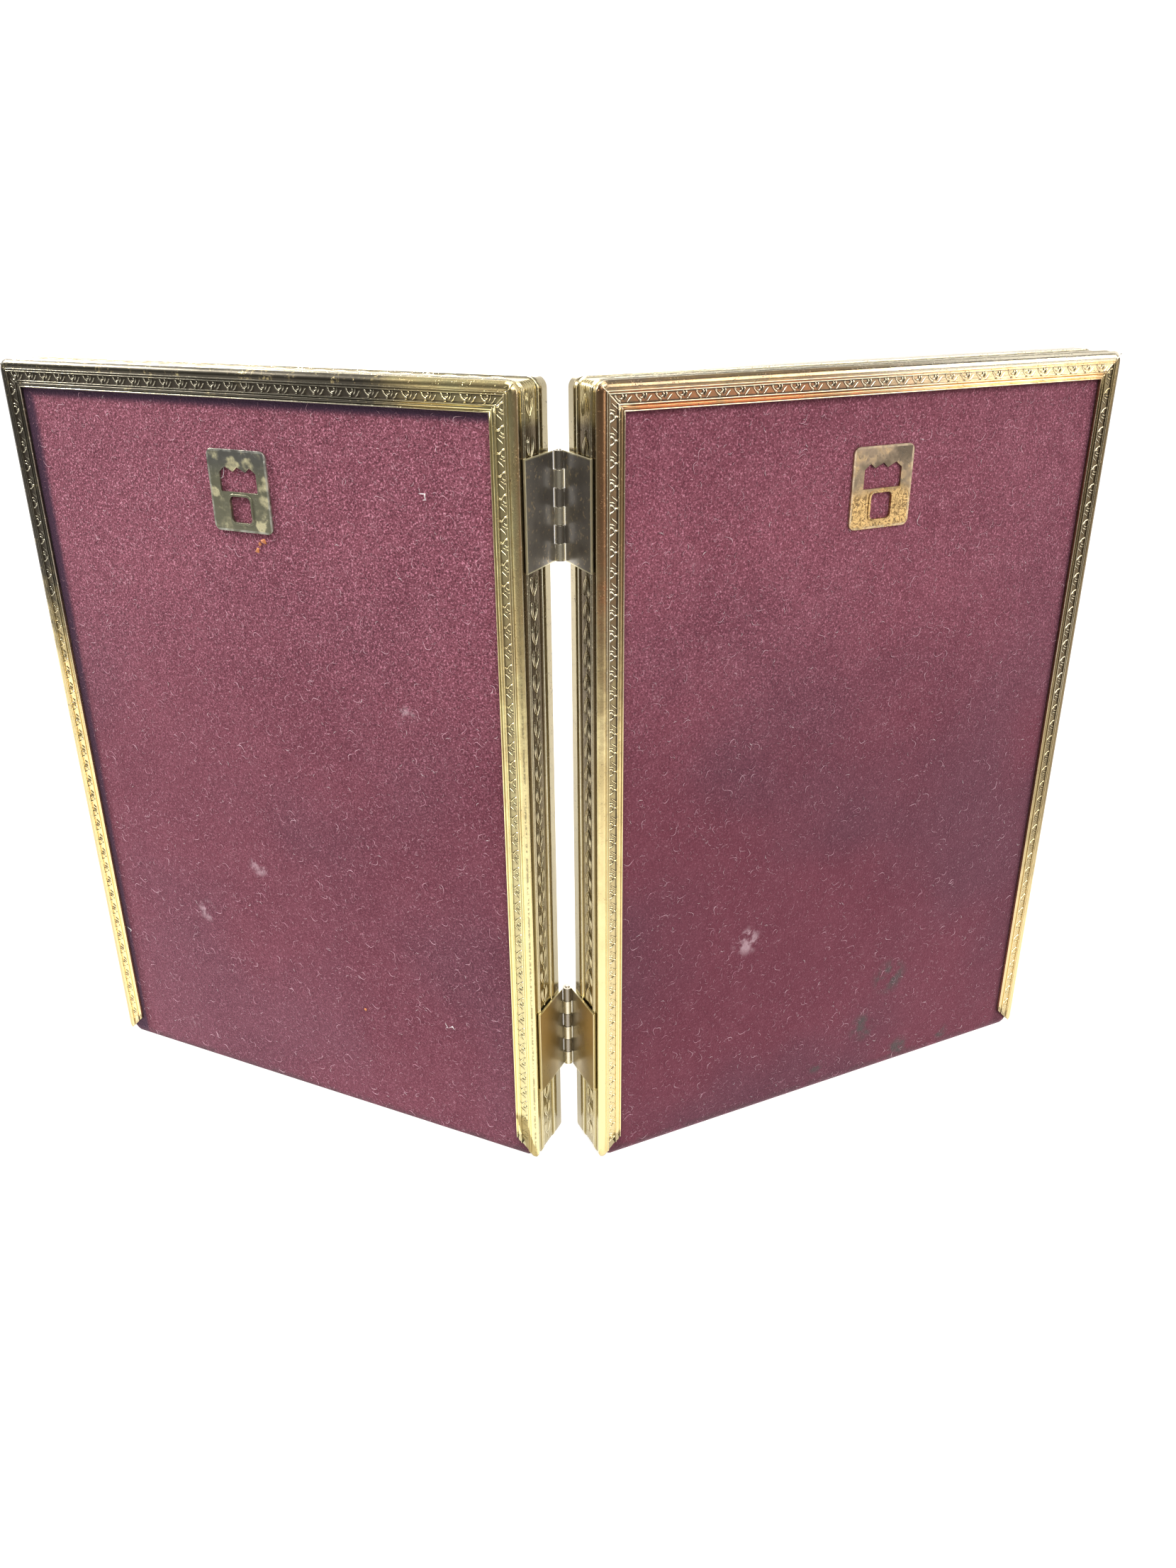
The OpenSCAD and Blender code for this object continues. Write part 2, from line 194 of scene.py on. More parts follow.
# %% The Finish class
class Finish(Graph):
    """A material with the few pattern nodes that this scene's finishes share."""

    def __init__(self, name):
        self.material = bpy.data.materials.new(name)
        self.material.use_nodes = True
        super().__init__(self.material.node_tree)
        self.tree.nodes.clear()

    def place(self):
        return self.node("ShaderNodeTexCoord", out="Object")

    def leaf_vector(self):
        return self.node("ShaderNodeAttribute", {"attribute_name": "leaf"}, out="Vector")

    def on_leaf(self):
        """Across, up and depth on the leaf in millimetres; across is negative on the left leaf."""
        parts = self.node("ShaderNodeSeparateXYZ", None, {0: self.leaf_vector()})
        return [parts] + self.outputs(parts, "Y", "Z")

    def distance(self, a, b):
        return self.node("ShaderNodeVectorMath", {"operation": "DISTANCE"}, {0: a, 1: b}, out="Value")

    def near(self, places):
        """1 at any of the (across, up, radius) places on a leaf, 0 further than its radius away."""
        flat = self.node("ShaderNodeVectorMath", {"operation": "MULTIPLY"},
                         {0: self.leaf_vector(), 1: (1, 1, 0)})
        spots = [self.distance(flat, (u, v, 0)).step(r, r * 0.35) for u, v, r in places]
        return functools.reduce(Wire.most, spots)

    def carried(self, name):
        return self.node("ShaderNodeAttribute", {"attribute_name": name}, out="Fac")

    def noise(self, scale, detail=3.0, rough=0.55, where=None, warp=0.0):
        return self.node("ShaderNodeTexNoise", None, {
            "Vector": where or self.place(), "Scale": scale, "Detail": detail,
            "Roughness": rough, "Distortion": warp})

    def stretched(self, scales):
        """Leaf coordinates pulled out along the leaf's own axes."""
        return self.node("ShaderNodeMapping", {"vector_type": "POINT"},
                         {"Vector": self.leaf_vector(), "Scale": scales})

    def mix(self, first, second, share):
        colours = [c if isinstance(c, Wire) else (*c, 1.0) for c in (first, second)]
        return self.node("ShaderNodeMix", {"data_type": "RGBA"},
                         {0: share, 6: colours[0], 7: colours[1]}, out=2)

    def coats(self, colour, *layers):
        """Lays each (tone, share) over the colour, one after the other."""
        for tone, share in layers:
            colour = self.mix(colour, tone, share)
        return colour

    def bump(self, height, distance, strength=1.0, under=None):
        sockets = {"Height": height, "Distance": distance, "Strength": strength}
        if under:
            sockets["Normal"] = under
        return self.node("ShaderNodeBump", None, sockets)

    def surface(self, **sockets):
        """Closes the material with a Principled shader; a name's _ stands for a space."""
        named = {}
        for name, value in sockets.items():
            if isinstance(value, tuple) and len(value) == 3:
                value = (*value, 1.0)
            named[name.replace("_", " ")] = value
        return self.close(self.node("ShaderNodeBsdfPrincipled", None, named))

    def close(self, shader):
        end = self.tree.nodes.new("ShaderNodeOutputMaterial")
        self.tree.links.new(shader.socket, end.inputs["Surface"])
        print("finish", self.material.name, "has", len(self.tree.nodes), "nodes")
        return self.material


# %% [markdown]
# ## The studio
# The frame stands on a white cloth in even daylight, so bright that the ground has no edge. One round
# sweep, a flat disc whose rim curves up, gives that from every side. It glows a little, which takes
# the shadows away as the over-bright picture does. Behind the camera the room is dark. Polished brass
# shows what it faces: the lower rails mirror the near white ground and look pale, while the upper
# rails mirror the dark room and look brown, with only their ridges bright.

# %% The sweep and the lights
def ring_surface(name, profile, steps):
    """A surface of revolution round Z through (radius, height) points."""
    points = [(0, 0, profile[0][1])]
    faces = []
    for radius, height in profile:
        for i in range(steps):
            a = FULL_TURN * i / steps
            points.append((radius * math.cos(a), radius * math.sin(a), height))
    for i in range(steps):
        j = (i + 1) % steps
        faces.append((0, 1 + i, 1 + j))
        for k in range(len(profile) - 1):
            a = 1 + k * steps
            faces.append((a + i, a + steps + i, a + steps + j, a + j))
    return add_object(name, new_mesh(name, points, faces))


SWEEP_R = 1.7
RIM_R = 0.9
sweep_profile = [(0.6, 0), (SWEEP_R, 0)]
for i in range(1, 11):
    turn = math.radians(9 * i)
    sweep_profile.append((SWEEP_R + RIM_R * math.sin(turn), RIM_R * (1 - math.cos(turn))))
sweep_profile.append((SWEEP_R + RIM_R, 3.0))
sweep = ring_surface("studio_sweep", sweep_profile, 72)

cloth = Finish("studio_white")
ground_x = cloth.node("ShaderNodeSeparateXYZ", None, {0: cloth.place()})
ground_y = cloth.outputs(ground_x, "Y")[0]
behind = ground_y + ground_x.size() * 0.25
dim = behind.step(0.16, 0.46)
dark = behind.step(0.34, 0.75)
lit_side = cloth.distance(cloth.place(), (-1.75, 0.72, 0.1)).step(0.85, 0.55)
glow = cloth.coats((0.97, 0.955, 0.945), ((0.34, 0.32, 0.31), dim), ((0.035, 0.031, 0.030), dark),
                   ((1.0, 0.97, 0.93), lit_side))
glow_shader = cloth.node("ShaderNodeEmission", None, {"Color": glow, "Strength": 0.86})
white = cloth.mix((0.40, 0.40, 0.40), (0.08, 0.08, 0.08), dim)
white_shader = cloth.node("ShaderNodeBsdfDiffuse", None, {"Color": white, "Roughness": 0.5})
white_cloth = cloth.close(cloth.node("ShaderNodeAddShader", None, {0: glow_shader, 1: white_shader}))
white_cloth.cycles.emission_sampling = "NONE"
sweep.data.materials.append(white_cloth)


AIM_HEIGHT = 0.1


def soft_light(name, place, size, power, colour):
    """A rectangular lamp of so many watts, turned to the middle of the frame."""
    data = bpy.data.lights.new(name, "AREA")
    data.shape = "RECTANGLE"
    data.size, data.size_y = size
    data.energy = power
    data.color = colour
    light = add_object(name, data)
    light.location = place
    light.rotation_mode = "QUATERNION"
    light.rotation_quaternion = (Vector((0, 0, AIM_HEIGHT)) - Vector(place)).to_track_quat("-Z", "Y")


soft_light("ceiling_light", (0.15, 0.25, 1.3), (0.9, 0.6), 7, (1.0, 0.98, 0.95))
soft_light("lamp", (0.86, -0.095, 0.69), (0.17, 0.17), 14, (1.0, 0.985, 0.96))
soft_light("room_light", (-0.35, 1.15, 1.25), (1.1, 0.7), 19, (1.0, 0.98, 0.97))
soft_light("window_card", (-1.25, 0.62, 0.52), (0.75, 0.85), 9.5, (1.0, 0.97, 0.92))
soft_light("front_fill", (0.2, -1.2, 0.8), (0.9, 0.7), 5.5, (1.0, 0.98, 0.96))

world = bpy.data.worlds.new("room")
world.use_nodes = True
background = world.node_tree.nodes["Background"].inputs
background["Color"].default_value = (0.60, 0.61, 0.63, 1)
background["Strength"].default_value = 0.62
bpy.context.scene.world = world
bpy.context.scene.view_settings.view_transform = "Standard"
bpy.context.scene.view_settings.look = "None"

# %% [markdown]
# ## A leaf lying down
# Everything on a leaf is easier to make with the leaf lying on its back: U runs across from the hinge
# side, V runs up, and D is the depth from the back flange to the front, all in millimetres. One
# function stands such points up in the row frame. The left leaf is the right one in a mirror, so its
# faces are turned over afterwards.

# %% Standing a leaf up
REST_TURN = math.radians(25)
WALL_GAP = 1.15
PIN_D = 15.6
LEAF_W = 132.0
LEAF_H = 183.0
BEND_R = 2.4
pin_low, pin_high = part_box("upper_hinge_pin")
PIN_Y = 500 * (pin_low.y + pin_high.y)
SIDES = {"right": 1, "left": -1}


def stand(points, side):
    """Leaf points in millimetres to the row frame in metres."""
    u, v, d = np.asarray(points, float).reshape(-1, 3).T
    across = u + WALL_GAP
    lead = PIN_D - d
    x = across * math.cos(REST_TURN) + lead * math.sin(REST_TURN)
    y = PIN_Y - across * math.sin(REST_TURN) + lead * math.cos(REST_TURN)
    return np.stack([side * x, y, v], 1) / 1000


def lie_down(points, side):
    """Row frame points in metres back to leaf points in millimetres."""
    x, y, z = np.asarray(points, float).reshape(-1, 3).T * 1000
    across = side * x * math.cos(REST_TURN) - (y - PIN_Y) * math.sin(REST_TURN)
    lead = side * x * math.sin(REST_TURN) + (y - PIN_Y) * math.cos(REST_TURN)
    return np.stack([across - WALL_GAP, z, PIN_D - lead], 1)


def points_of(mesh):
    flat = np.zeros(len(mesh.vertices) * 3, np.float32)
    mesh.vertices.foreach_get("co", flat)
    return flat.reshape(-1, 3).astype(float)


def set_points(mesh, points):
    mesh.vertices.foreach_set("co", np.asarray(points, np.float32).ravel())
    mesh.update()


def carry(mesh, name, values):
    """Stores a number or a vector on each vertex."""
    values = np.asarray(values, np.float32)
    kind, field = ("FLOAT", "value") if values.ndim == 1 else ("FLOAT_VECTOR", "vector")
    old = mesh.attributes.get(name)
    if old:
        mesh.attributes.remove(old)
    mesh.attributes.new(name, kind, "POINT").data.foreach_set(field, values.ravel())


def raise_piece(name, mesh, side, body, material):
    """Stands a mesh in leaf millimetres up, and makes it a piece that rides on a body."""
    lying = points_of(mesh)
    carry(mesh, "leaf", lying * (side, 1, 1))
    set_points(mesh, stand(lying, side))
    if side < 0:
        mesh.flip_normals()
    mesh.name = name
    mesh.materials.clear()
    mesh.materials.append(material)
    made = add_object(name, mesh)
    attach(made, body)
    print(name, "has", len(mesh.polygons), "faces")
    return made


print("pin at y", round(PIN_Y, 3), "mm; stand and lie_down agree:",
      np.allclose(lie_down(stand([[10, 20, 3]], -1), -1), [[10, 20, 3]]))

# %% [markdown]
# ## Brass that has been handled
# The strip has a thin bright plating. Rubbed ridges are worn pale and carry a painted highlight as
# well, and the grooves between them keep old polish and dirt, with painted shade round the ornament.
# The rails are painted darker from the top down, partly tarnish and partly a painted dark reflection of
# the room: on one leaf the top rail is nearly black with bright specks, and on the other it is copper
# near the hinge and gold further out. The hinge side walls carry a painted dark reflection of each
# other, and the up-facing top of the wall a painted highlight. Small pits show everywhere. The masks
# are laid out on the leaf, so that the tarnish and the painted light sit where they do on the real one.

# %% Brass finish for the strip
PALE_GOLD = (0.93, 0.83, 0.43)
PEACH_GOLD = (0.88, 0.69, 0.36)
OLD_GOLD = (0.72, 0.57, 0.27)
BROWN_BRASS = (0.33, 0.21, 0.11)
OLIVE_BLACK = (0.066, 0.060, 0.052)
UMBER = (0.17, 0.120, 0.066)
OLIVE_BROWN = (0.200, 0.145, 0.070)
AMBER = (0.86, 0.50, 0.20)
COPPER = (0.60, 0.23, 0.10)
CREAM = (0.90, 0.83, 0.68)
PALE_CREAM = (0.98, 0.91, 0.76)
BEIGE = (0.34, 0.27, 0.20)
EDGE_GOLD = (0.50, 0.42, 0.22)
LOW_UMBER = (0.27, 0.20, 0.085)
BEAD_GOLD = (0.50, 0.43, 0.27)
BEAD_BROWN = (0.29, 0.24, 0.145)
RUBBED_HIGHLIGHT_GOLD = (0.92, 0.86, 0.64)
BARE_BROWN = (0.36, 0.27, 0.10)
DIRT = (0.050, 0.038, 0.024)


def strip_brass():
    f = Finish("rolled_brass")
    across, up, depth = f.on_leaf()
    # The crest value is 1 on rubbed crests, which are worn pale and get a painted highlight, and 0 on the
    # ornament's skirts and in grooves, which get grime and painted shade.
    high = f.carried("rubbed")
    u = across.size()
    right = across.step(-1.0, 1.0)
    left = 1 - right
    from_top = LEAF_H - up
    from_side = u.least(LEAF_W - u)
    inward = from_side.least(from_top)
    cloud = f.noise(70.0, 3.0, 0.6)
    patch = f.noise(300.0, 4.0, 0.65)
    grain = f.noise(1500.0, 3.0, 0.6)
    pits = f.noise(2600.0, 2.0, 0.5)
    back = depth.step(1.3, 1.1)
    wall = 1 - back
    top = (from_side - from_top).step(-0.08, 0.08) * back
    upright = back - top
    hinge_rail = u.step(LEAF_W / 2, LEAF_W / 2 - 1) * upright
    outer_rail = upright - hinge_rail
    hinge_wall = u.step(2.0, 1.4) * wall
    lip = inward.step(4.45, 4.62) * back
    scroll = inward.step(2.46, 2.56) * inward.step(4.34, 4.24) * back
    edge = inward.step(1.86, 1.76) * back
    along = (f.noise(1.0, 3.0, 0.6, f.stretched((0.10, 2.2, 2.2))) * top
             + f.noise(1.0, 3.0, 0.6, f.stretched((2.2, 0.06, 2.2))) * (1 - top))

    age = (cloud * 0.7 + patch * 0.5 + along * 0.3 - 0.5).step(0.05, 0.40) * up.step(5.0, 130.0)
    peach = outer_rail * 0.85 + hinge_rail * left * 0.6
    # Painted dark reflection: the hinge rails and the left leaf's outer rail are painted brown towards
    # the top, where they face the dark room.
    top_dark_reflection = (hinge_rail * (0.20 + left * 0.60) * (up + patch * 50.0).step(118.0, 170.0)
             + outer_rail * left * (up + patch * 40.0).step(96.0, 140.0) * up.step(176.0, 168.0))
    top_dark_reflection = (top_dark_reflection * (1.15 - lip * 0.35 - edge * 0.2) + along * 0.3 - 0.15).step(0.0, 1.0)
    # Painted dark reflection: the left leaf's outer rail is painted olive brown from the middle up.
    shady = outer_rail * left * (up + patch * 30.0).step(38.0, 96.0) * (0.72 + edge * 0.22)
    # Nearly black on the right leaf's top rail and the top of its outer rail: partly tarnish and partly a
    # painted dark reflection.
    black = (top * right * (u + patch * 16.0).step(25.0, 42.0)
             + outer_rail * right * (up + patch * 40.0).step(126.0, 158.0))
    worn = (patch + along * 0.3 + grain * 1.1 - 1.28).step(0.04, 0.18) * (0.20 + edge * 0.35)
    black = black * (0.97 - worn)
    red = (top * left * (u + patch * 36.0).step(128.0, 70.0) * (1 - edge * 0.45)
           + left * hinge_rail * (up + patch * 30.0).step(146.0, 172.0) * (0.35 + edge * 0.6))
    red = red * (patch * 1.3 + cloud * 0.8 - 0.35).step(0.05, 0.45)
    beige = (top * left * edge * (u + patch * 36.0).step(110.0, 60.0)
             * (along * 0.8 + patch * 0.6 - 0.4).step(0.1, 0.5))
    pale = top * left * (u + patch * 24.0).step(56.0, 100.0) * (0.30 + edge * 0.45)
    amber = (top * left * u.step(60.0, 96.0) * (1 - edge)
             * (patch * 0.9 + along * 0.5 - 0.3).step(0.1, 0.6))
    # Painted dark reflection: the back part of the two hinge side walls, which face each other, is
    # painted umber.
    wall_dark_reflection = (hinge_wall * (0.70 + (up + patch * 30.0).step(30.0, 140.0) * 0.25)
             * depth.step(10.2, 9.4) * (1 - up.step(173.5, 176.5) * 0.75))
    front = depth.step(11.5, 12.0) * inward.step(0.5, 1.0)
    bead = depth.step(9.9, 10.3) * depth.step(14.1, 13.9)
    colour = f.coats(
        PALE_GOLD,
        (PEACH_GOLD, peach),
        (OLD_GOLD, age),
        (BROWN_BRASS, top_dark_reflection * 0.92),
        (OLIVE_BROWN, shady),
        (EDGE_GOLD, outer_rail * right * edge * 0.75),
        (OLIVE_BLACK, black),
        (f.mix(COPPER, BROWN_BRASS, cloud.step(0.44, 0.56) * 0.7), red * 0.95),
        (BEIGE, beige * 0.8),
        (PALE_CREAM, pale),
        (AMBER, amber * (0.7 - scroll * 0.35)),
        (f.mix(LOW_UMBER, UMBER, up.step(50.0, 130.0)), wall_dark_reflection),
        (OLD_GOLD, front * (patch * 1.6 - 0.35).step(0.1, 0.7) * 0.75),
        (f.mix(BEAD_GOLD, BEAD_BROWN, left), bead * (0.4 + hinge_wall * 0.55)),
        # Painted highlight: the up-facing top of the wall is painted cream.
        (CREAM, up.step(182.4, 182.9) * wall * 0.7))

    dull = 1 - high
    stipple = hinge_rail * right * inward.hump(0.62, 0.40) * (grain * 0.7 + patch * 0.4).step(0.46, 0.60)
    spots = pits.step(0.60, 0.70) * patch.step(0.42, 0.62) * (0.30 + 0.70 * up.step(40.0, 150.0))
    clean = (top * left * u.step(50.0, 90.0) * 0.75 + hinge_wall * 0.6
             + outer_rail * right * up.step(150.0, 104.0) * 0.98)
    # Grime in the dull grooves and on the ornament's skirts, partly painted shade, heavier towards the
    # top.
    grime_and_shade = dull * (0.55 + grain * 0.5) * (0.30 + 0.50 * up.step(20.0, 120.0)) * (1 - clean)
    # Painted shadow round the ornament's strokes: their skirts and the dull scroll band are darkened,
    # mixed with grime, more towards the top.
    old = up.step(12.0, 115.0)
    sunk = high.step(0.10, 0.0) * scroll
    hollow_grime_and_shade = (scroll * dull * (0.04 + 0.54 * old) * (0.35 + grain * 0.4 + patch * 0.6)
              * (1 - hinge_rail * right * 0.65) + sunk * (0.10 + 0.60 * old))
    hollow_grime_and_shade = hollow_grime_and_shade * (1 - clean) * up.step(2.0, 9.0)
    settled = front * dull * (0.25 + grain * 0.7 + patch * 0.5)
    dark = (spots * 0.8).most(grime_and_shade).most(hollow_grime_and_shade.least(0.95)).most(stipple * 0.7)
    dark = dark.most(settled.least(0.9))
    # Painted highlight on the crests, over their wear: strongest where the metal is tarnished or painted
    # dark, weaker on the black parts.
    tarnish_and_reflection = black.most(wall_dark_reflection).most(top_dark_reflection).most(red)
    bright = high.step(0.86, 1.0) * (0.20 + 0.62 * tarnish_and_reflection
                                     - black * (0.72 - scroll * 0.30 - inward.step(5.4, 5.6) * 0.55))
    bright = bright * (0.45 + grain * 0.9) * (1 - bead * hinge_wall) * (1 - shady * 0.55)
    peel = (((u - 1.0 - up * 0.28).size() / 2.0 + patch * 1.2 - 0.6).step(0.75, 0.65)
            * up.step(13.5, 12.0) * right * back * u.step(6.2, 6.0))
    colour = f.coats(colour, (DIRT, dark), (RUBBED_HIGHLIGHT_GOLD, bright.least(0.9)), (BARE_BROWN, peel * 0.8))

    rough = 0.09 + age * 0.06 + black * 0.12 + dark * 0.30 + along * 0.08 + peel * 0.25
    waves = f.noise(45.0, 2.0, 0.5)
    normal = f.bump(waves, 0.0010, 0.3)
    normal = f.bump(along, 0.00003, 0.4, normal)
    normal = f.bump(grain * 0.5 - spots * 0.8 + patch * 0.5, 0.00005, 0.6, normal)
    return f.surface(Base_Color=colour, Metallic=1.0 - dark * 0.45, Roughness=rough, Normal=normal)


strip_brass_finish = strip_brass()

# %% [markdown]
# ## The rolled strip
# A roller turns flat strip into this section: a back flange, a side wall and a front moulding, each
# with its own lines and bands. The real strip is bent round four corners and mitred where the flange
# and the moulding meet. Here the section is drawn once as stations, rounded at each corner, and swept
# round the leaf. Points nearer the outside than the bend radius turn round the bend, and points
# further in run together on the mitre, as the metal does.

# %% Drawing the section
def rounded(stations, steps=3):
    """(t, d, radius, rubbed) corners to a closed line of (t, d, rubbed) points with round corners."""
    line = []
    count = len(stations)
    for i, (t, d, radius, rubbed) in enumerate(stations):
        here = np.array([t, d])
        if radius <= 0:
            line.append((t, d, rubbed))
            continue
        before = np.array(stations[i - 1][:2]) - here
        after = np.array(stations[(i + 1) % count][:2]) - here
        reach_before, reach_after = np.linalg.norm(before), np.linalg.norm(after)
        cut = min(radius, 0.45 * reach_before, 0.45 * reach_after)
        start = here + before / reach_before * cut
        end = here + after / reach_after * cut
        for k in range(steps):
            s = k / (steps - 1)
            p = (1 - s) ** 2 * start + 2 * s * (1 - s) * here + s ** 2 * end
            line.append((p[0], p[1], rubbed))
    return line


def bulge(a, b, rise, steps, rubbed):
    """Stations on an arc from a to b that bulges to the left of the way by rise."""
    a, b = np.array(a), np.array(b)
    along = b - a
    out = np.array([-along[1], along[0]]) / np.linalg.norm(along)
    made = []
    for k in range(steps + 1):
        s = k / steps
        p = a + along * s + out * rise * 4 * s * (1 - s)
        made.append((p[0], p[1], 0, rubbed))
    return made


FRONT_BEND_T = 1.0
FRONT_BEND_D = 13.0


def front_bend(radius, first, last, steps, rubbed):
    """Stations round the bend at the front, for angles in degrees from the wall's normal."""
    made = []
    for k in range(steps + 1):
        a = math.radians(first + (last - first) * k / steps)
        made.append((FRONT_BEND_T - radius * math.cos(a), FRONT_BEND_D + radius * math.sin(a), 0,
                     rubbed))
    return made


def line_of(t0, t1, low, top, rubbed=1):
    """A rolled line across the flange or moulding between t0 and t1, from depth low up to top."""
    return [(t0, low, .05, 0), (t0 + (t1 - t0) * .2, top, .06, rubbed),
            (t0 + (t1 - t0) * .8, top, .06, rubbed), (t1, low, .05, 0)]


SLIDE_D = 4.15
GARLAND_STEPS = 22
garland = [(0.35, d, 0, 0.15) for d in np.linspace(4.15, 9.1, GARLAND_STEPS)]
section = (
    [(5.8, .48, .05, .8), (5.77, .10, .06, 1), (5.58, .10, .06, 1), (5.47, .34, .04, 0)]
    + bulge((5.41, .33), (4.64, .33), .24, 6, .8)
    + line_of(4.58, 4.27, .35, .02)
    + [(3.9, .35, 0, .1), (3.4, .35, 0, .15), (2.9, .35, 0, .1)]
    + [(2.54, .35, .05, 0), (2.49, .02, .06, 1), (2.34, .02, .05, 1), (2.28, .2, .04, .1)]
    + [(2.06, .2, .04, .1), (2.00, .02, .05, 1), (1.85, .02, .05, 1), (1.78, .24, .05, .1)]
    + bulge((1.74, .25), (0.16, .72), .27, 8, .75)
    + [(0.09, .79, .03, .2), (0, .87, .07, 1), (0, 1.07, .07, 1), (.28, 1.27, .08, 0)]
    + [(.28, 1.8, 0, .55), (.28, 2.3, 0, .55), (.28, 2.78, .05, .1), (0, 2.92, .06, 1)]
    + [(0, 3.14, .06, 1), (.2, 3.24, .05, .1), (.2, 3.46, .05, .1), (0, 3.56, .06, 1)]
    + [(0, 3.78, .06, 1), (.35, 3.92, .07, 0)] + garland
    + [(.35, 9.19, .05, 0), (0, 9.31, .07, 1), (0, 9.67, .07, 1), (.35, 9.86, .04, 0)]
    + bulge((.34, 9.90), (0, 11.13), .085, 5, .8)
    + front_bend(1.0, 0.0, 90.0, 12, .8)
    + [(1.86, 14.0, .05, .8), (1.93, 13.66, .04, 0)] + line_of(2.09, 2.37, 13.66, 13.98)
    + [(2.8, 13.65, 0, .2), (3.26, 13.65, 0, .25), (3.7, 13.65, 0, .2)]
    + line_of(4.13, 4.41, 13.65, 13.98)
    + bulge((4.45, 13.62), (6.76, 12.62), -.30, 8, .7)
    + [(6.79, 12.32, .03, 0)] + bulge((6.82, 12.30), (7.48, 11.95), .24, 5, 1)
    + [(7.5, 11.63, .03, .4), (4.92, 11.6, .05, .3), (3.9, 13.15, .1, .3), (1.7, 13.15, .05, .3)]
    + front_bend(0.5, 90.0, 0.0, 5, .3) + [(.5, 11.13, 0, .3)]
    + [(.85, 9.9, .05, .3), (.85, SLIDE_D, 0, .3), (.85, .87, .04, .2), (5.76, .85, .02, .2)]
)
profile = rounded(section)
print("section has", len(profile), "points")

# %% [markdown]
# ## Sweeping the strip
# The sweep goes round in rings. It starts on the mitre at a bottom corner, goes up, across the top and
# down with the whole section, and comes back along the bottom with only the part in front of the
# slideway, because the board has to slide in there. Round the bends the garland band crumples into
# small ridges, as pressed metal does when it is bent the hard way.

# %% Building the strip's mesh
CORNERS = [((BEND_R, BEND_R), (0, -1), (-1, 0)),
           ((BEND_R, LEAF_H - BEND_R), (-1, 0), (0, 1)),
           ((LEAF_W - BEND_R, LEAF_H - BEND_R), (0, 1), (1, 0)),
           ((LEAF_W - BEND_R, BEND_R), (1, 0), (0, -1))]
BEND_STEPS = 12
MITRE_CLEAR = 8.0
RUN_STEP = 6.0


def ring_at_bend(corner, share, line):
    """The section at a share of a bend: 0 where the first side ends and 1 where the next starts."""
    (cx, cy), first, second = corner
    turn = share * math.pi / 2
    out = np.array(first) * math.cos(turn) + np.array(second) * math.sin(turn)
    mitre = np.array(first) + np.array(second)
    crumple = 0.26 * math.sin(2 * turn) ** 2
    ring = []
    for t, d, rubbed in line:
        if t < 0.5 and 4.3 < d < 9.05:
            wave = math.cos((d - 4.3) / 4.75 * 2 * math.pi * 5)
            t = t - crumple * max(0.0, 0.5 + 0.5 * wave)
        reach = BEND_R - t
        flat = out * reach if reach > 0 else mitre * reach
        ring.append((cx + flat[0], cy + flat[1], d))
    return ring


def rings_along(corner, after, line):
    """Rings on the straight side between two corners, clear of their mitres."""
    out = np.array(corner[2])
    start = np.array(corner[0]) + out * BEND_R
    end = np.array(after[0]) + out * BEND_R
    length = np.linalg.norm(end - start)
    along = (end - start) / length
    spare = MITRE_CLEAR - BEND_R
    count = int((length - 2 * spare) / RUN_STEP) + 1
    made = []
    for k in range(count + 1):
        at = start + along * (spare + (length - 2 * spare) * k / count)
        made.append([(at[0] - out[0] * t, at[1] - out[1] * t, d) for t, d, _ in line])
    return made


def drop_loose(body):
    bmesh.ops.delete(body, geom=[v for v in body.verts if not v.link_faces], context="VERTS")


def strip_mesh(name):
    count = len(profile)
    out_slide = next(i for i, p in enumerate(profile) if p[1] == SLIDE_D and p[0] < 0.5)
    in_slide = next(i for i, p in enumerate(profile) if p[1] == SLIDE_D and p[0] > 0.5)
    first_half = np.linspace(0, .5, BEND_STEPS // 2 + 1)
    second_half = np.linspace(.5, 1, BEND_STEPS // 2 + 1)
    whole = np.linspace(0, 1, BEND_STEPS + 1)

    def bend(i, shares):
        return [ring_at_bend(CORNERS[i], s, profile) for s in shares]

    rings = bend(0, second_half)
    for i, shares in ((1, whole), (2, whole), (3, first_half)):
        rings += rings_along(CORNERS[i - 1], CORNERS[i], profile) + bend(i, shares)
    full = len(rings)
    rings += bend(3, second_half[1:])
    rings += rings_along(CORNERS[3], CORNERS[0], profile) + bend(0, first_half[:-1])
    faces = []
    for r in range(len(rings)):
        a, b = r * count, (r + 1) % len(rings) * count
        if r < full - 1:
            pairs = [(i, (i + 1) % count) for i in range(count)]
        else:
            pairs = [(i, i + 1) for i in range(out_slide, in_slide)] + [(in_slide, out_slide)]
        faces += [(a + i, a + j, b + j, b + i) for i, j in pairs]
    back_part = list(range(in_slide, count)) + list(range(out_slide + 1))
    faces.append(tuple(back_part))
    faces.append(tuple((full - 1) * count + i for i in reversed(back_part)))
    mesh = new_mesh(name, [p for ring in rings for p in ring], faces)
    carry(mesh, "rubbed", [p[2] for _ in rings for p in profile])
    print(name, "open edges:", merge(mesh, 1e-4, drop_loose))
    return mesh


for word, side in SIDES.items():
    name = word + "_rolled_strip"
    strip = raise_piece(name, strip_mesh(name), side, word + "_leaf", strip_brass_finish)
    strip.modifiers.new("even_shading", "WEIGHTED_NORMAL").keep_sharp = True
    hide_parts(word + "_frame_strip")

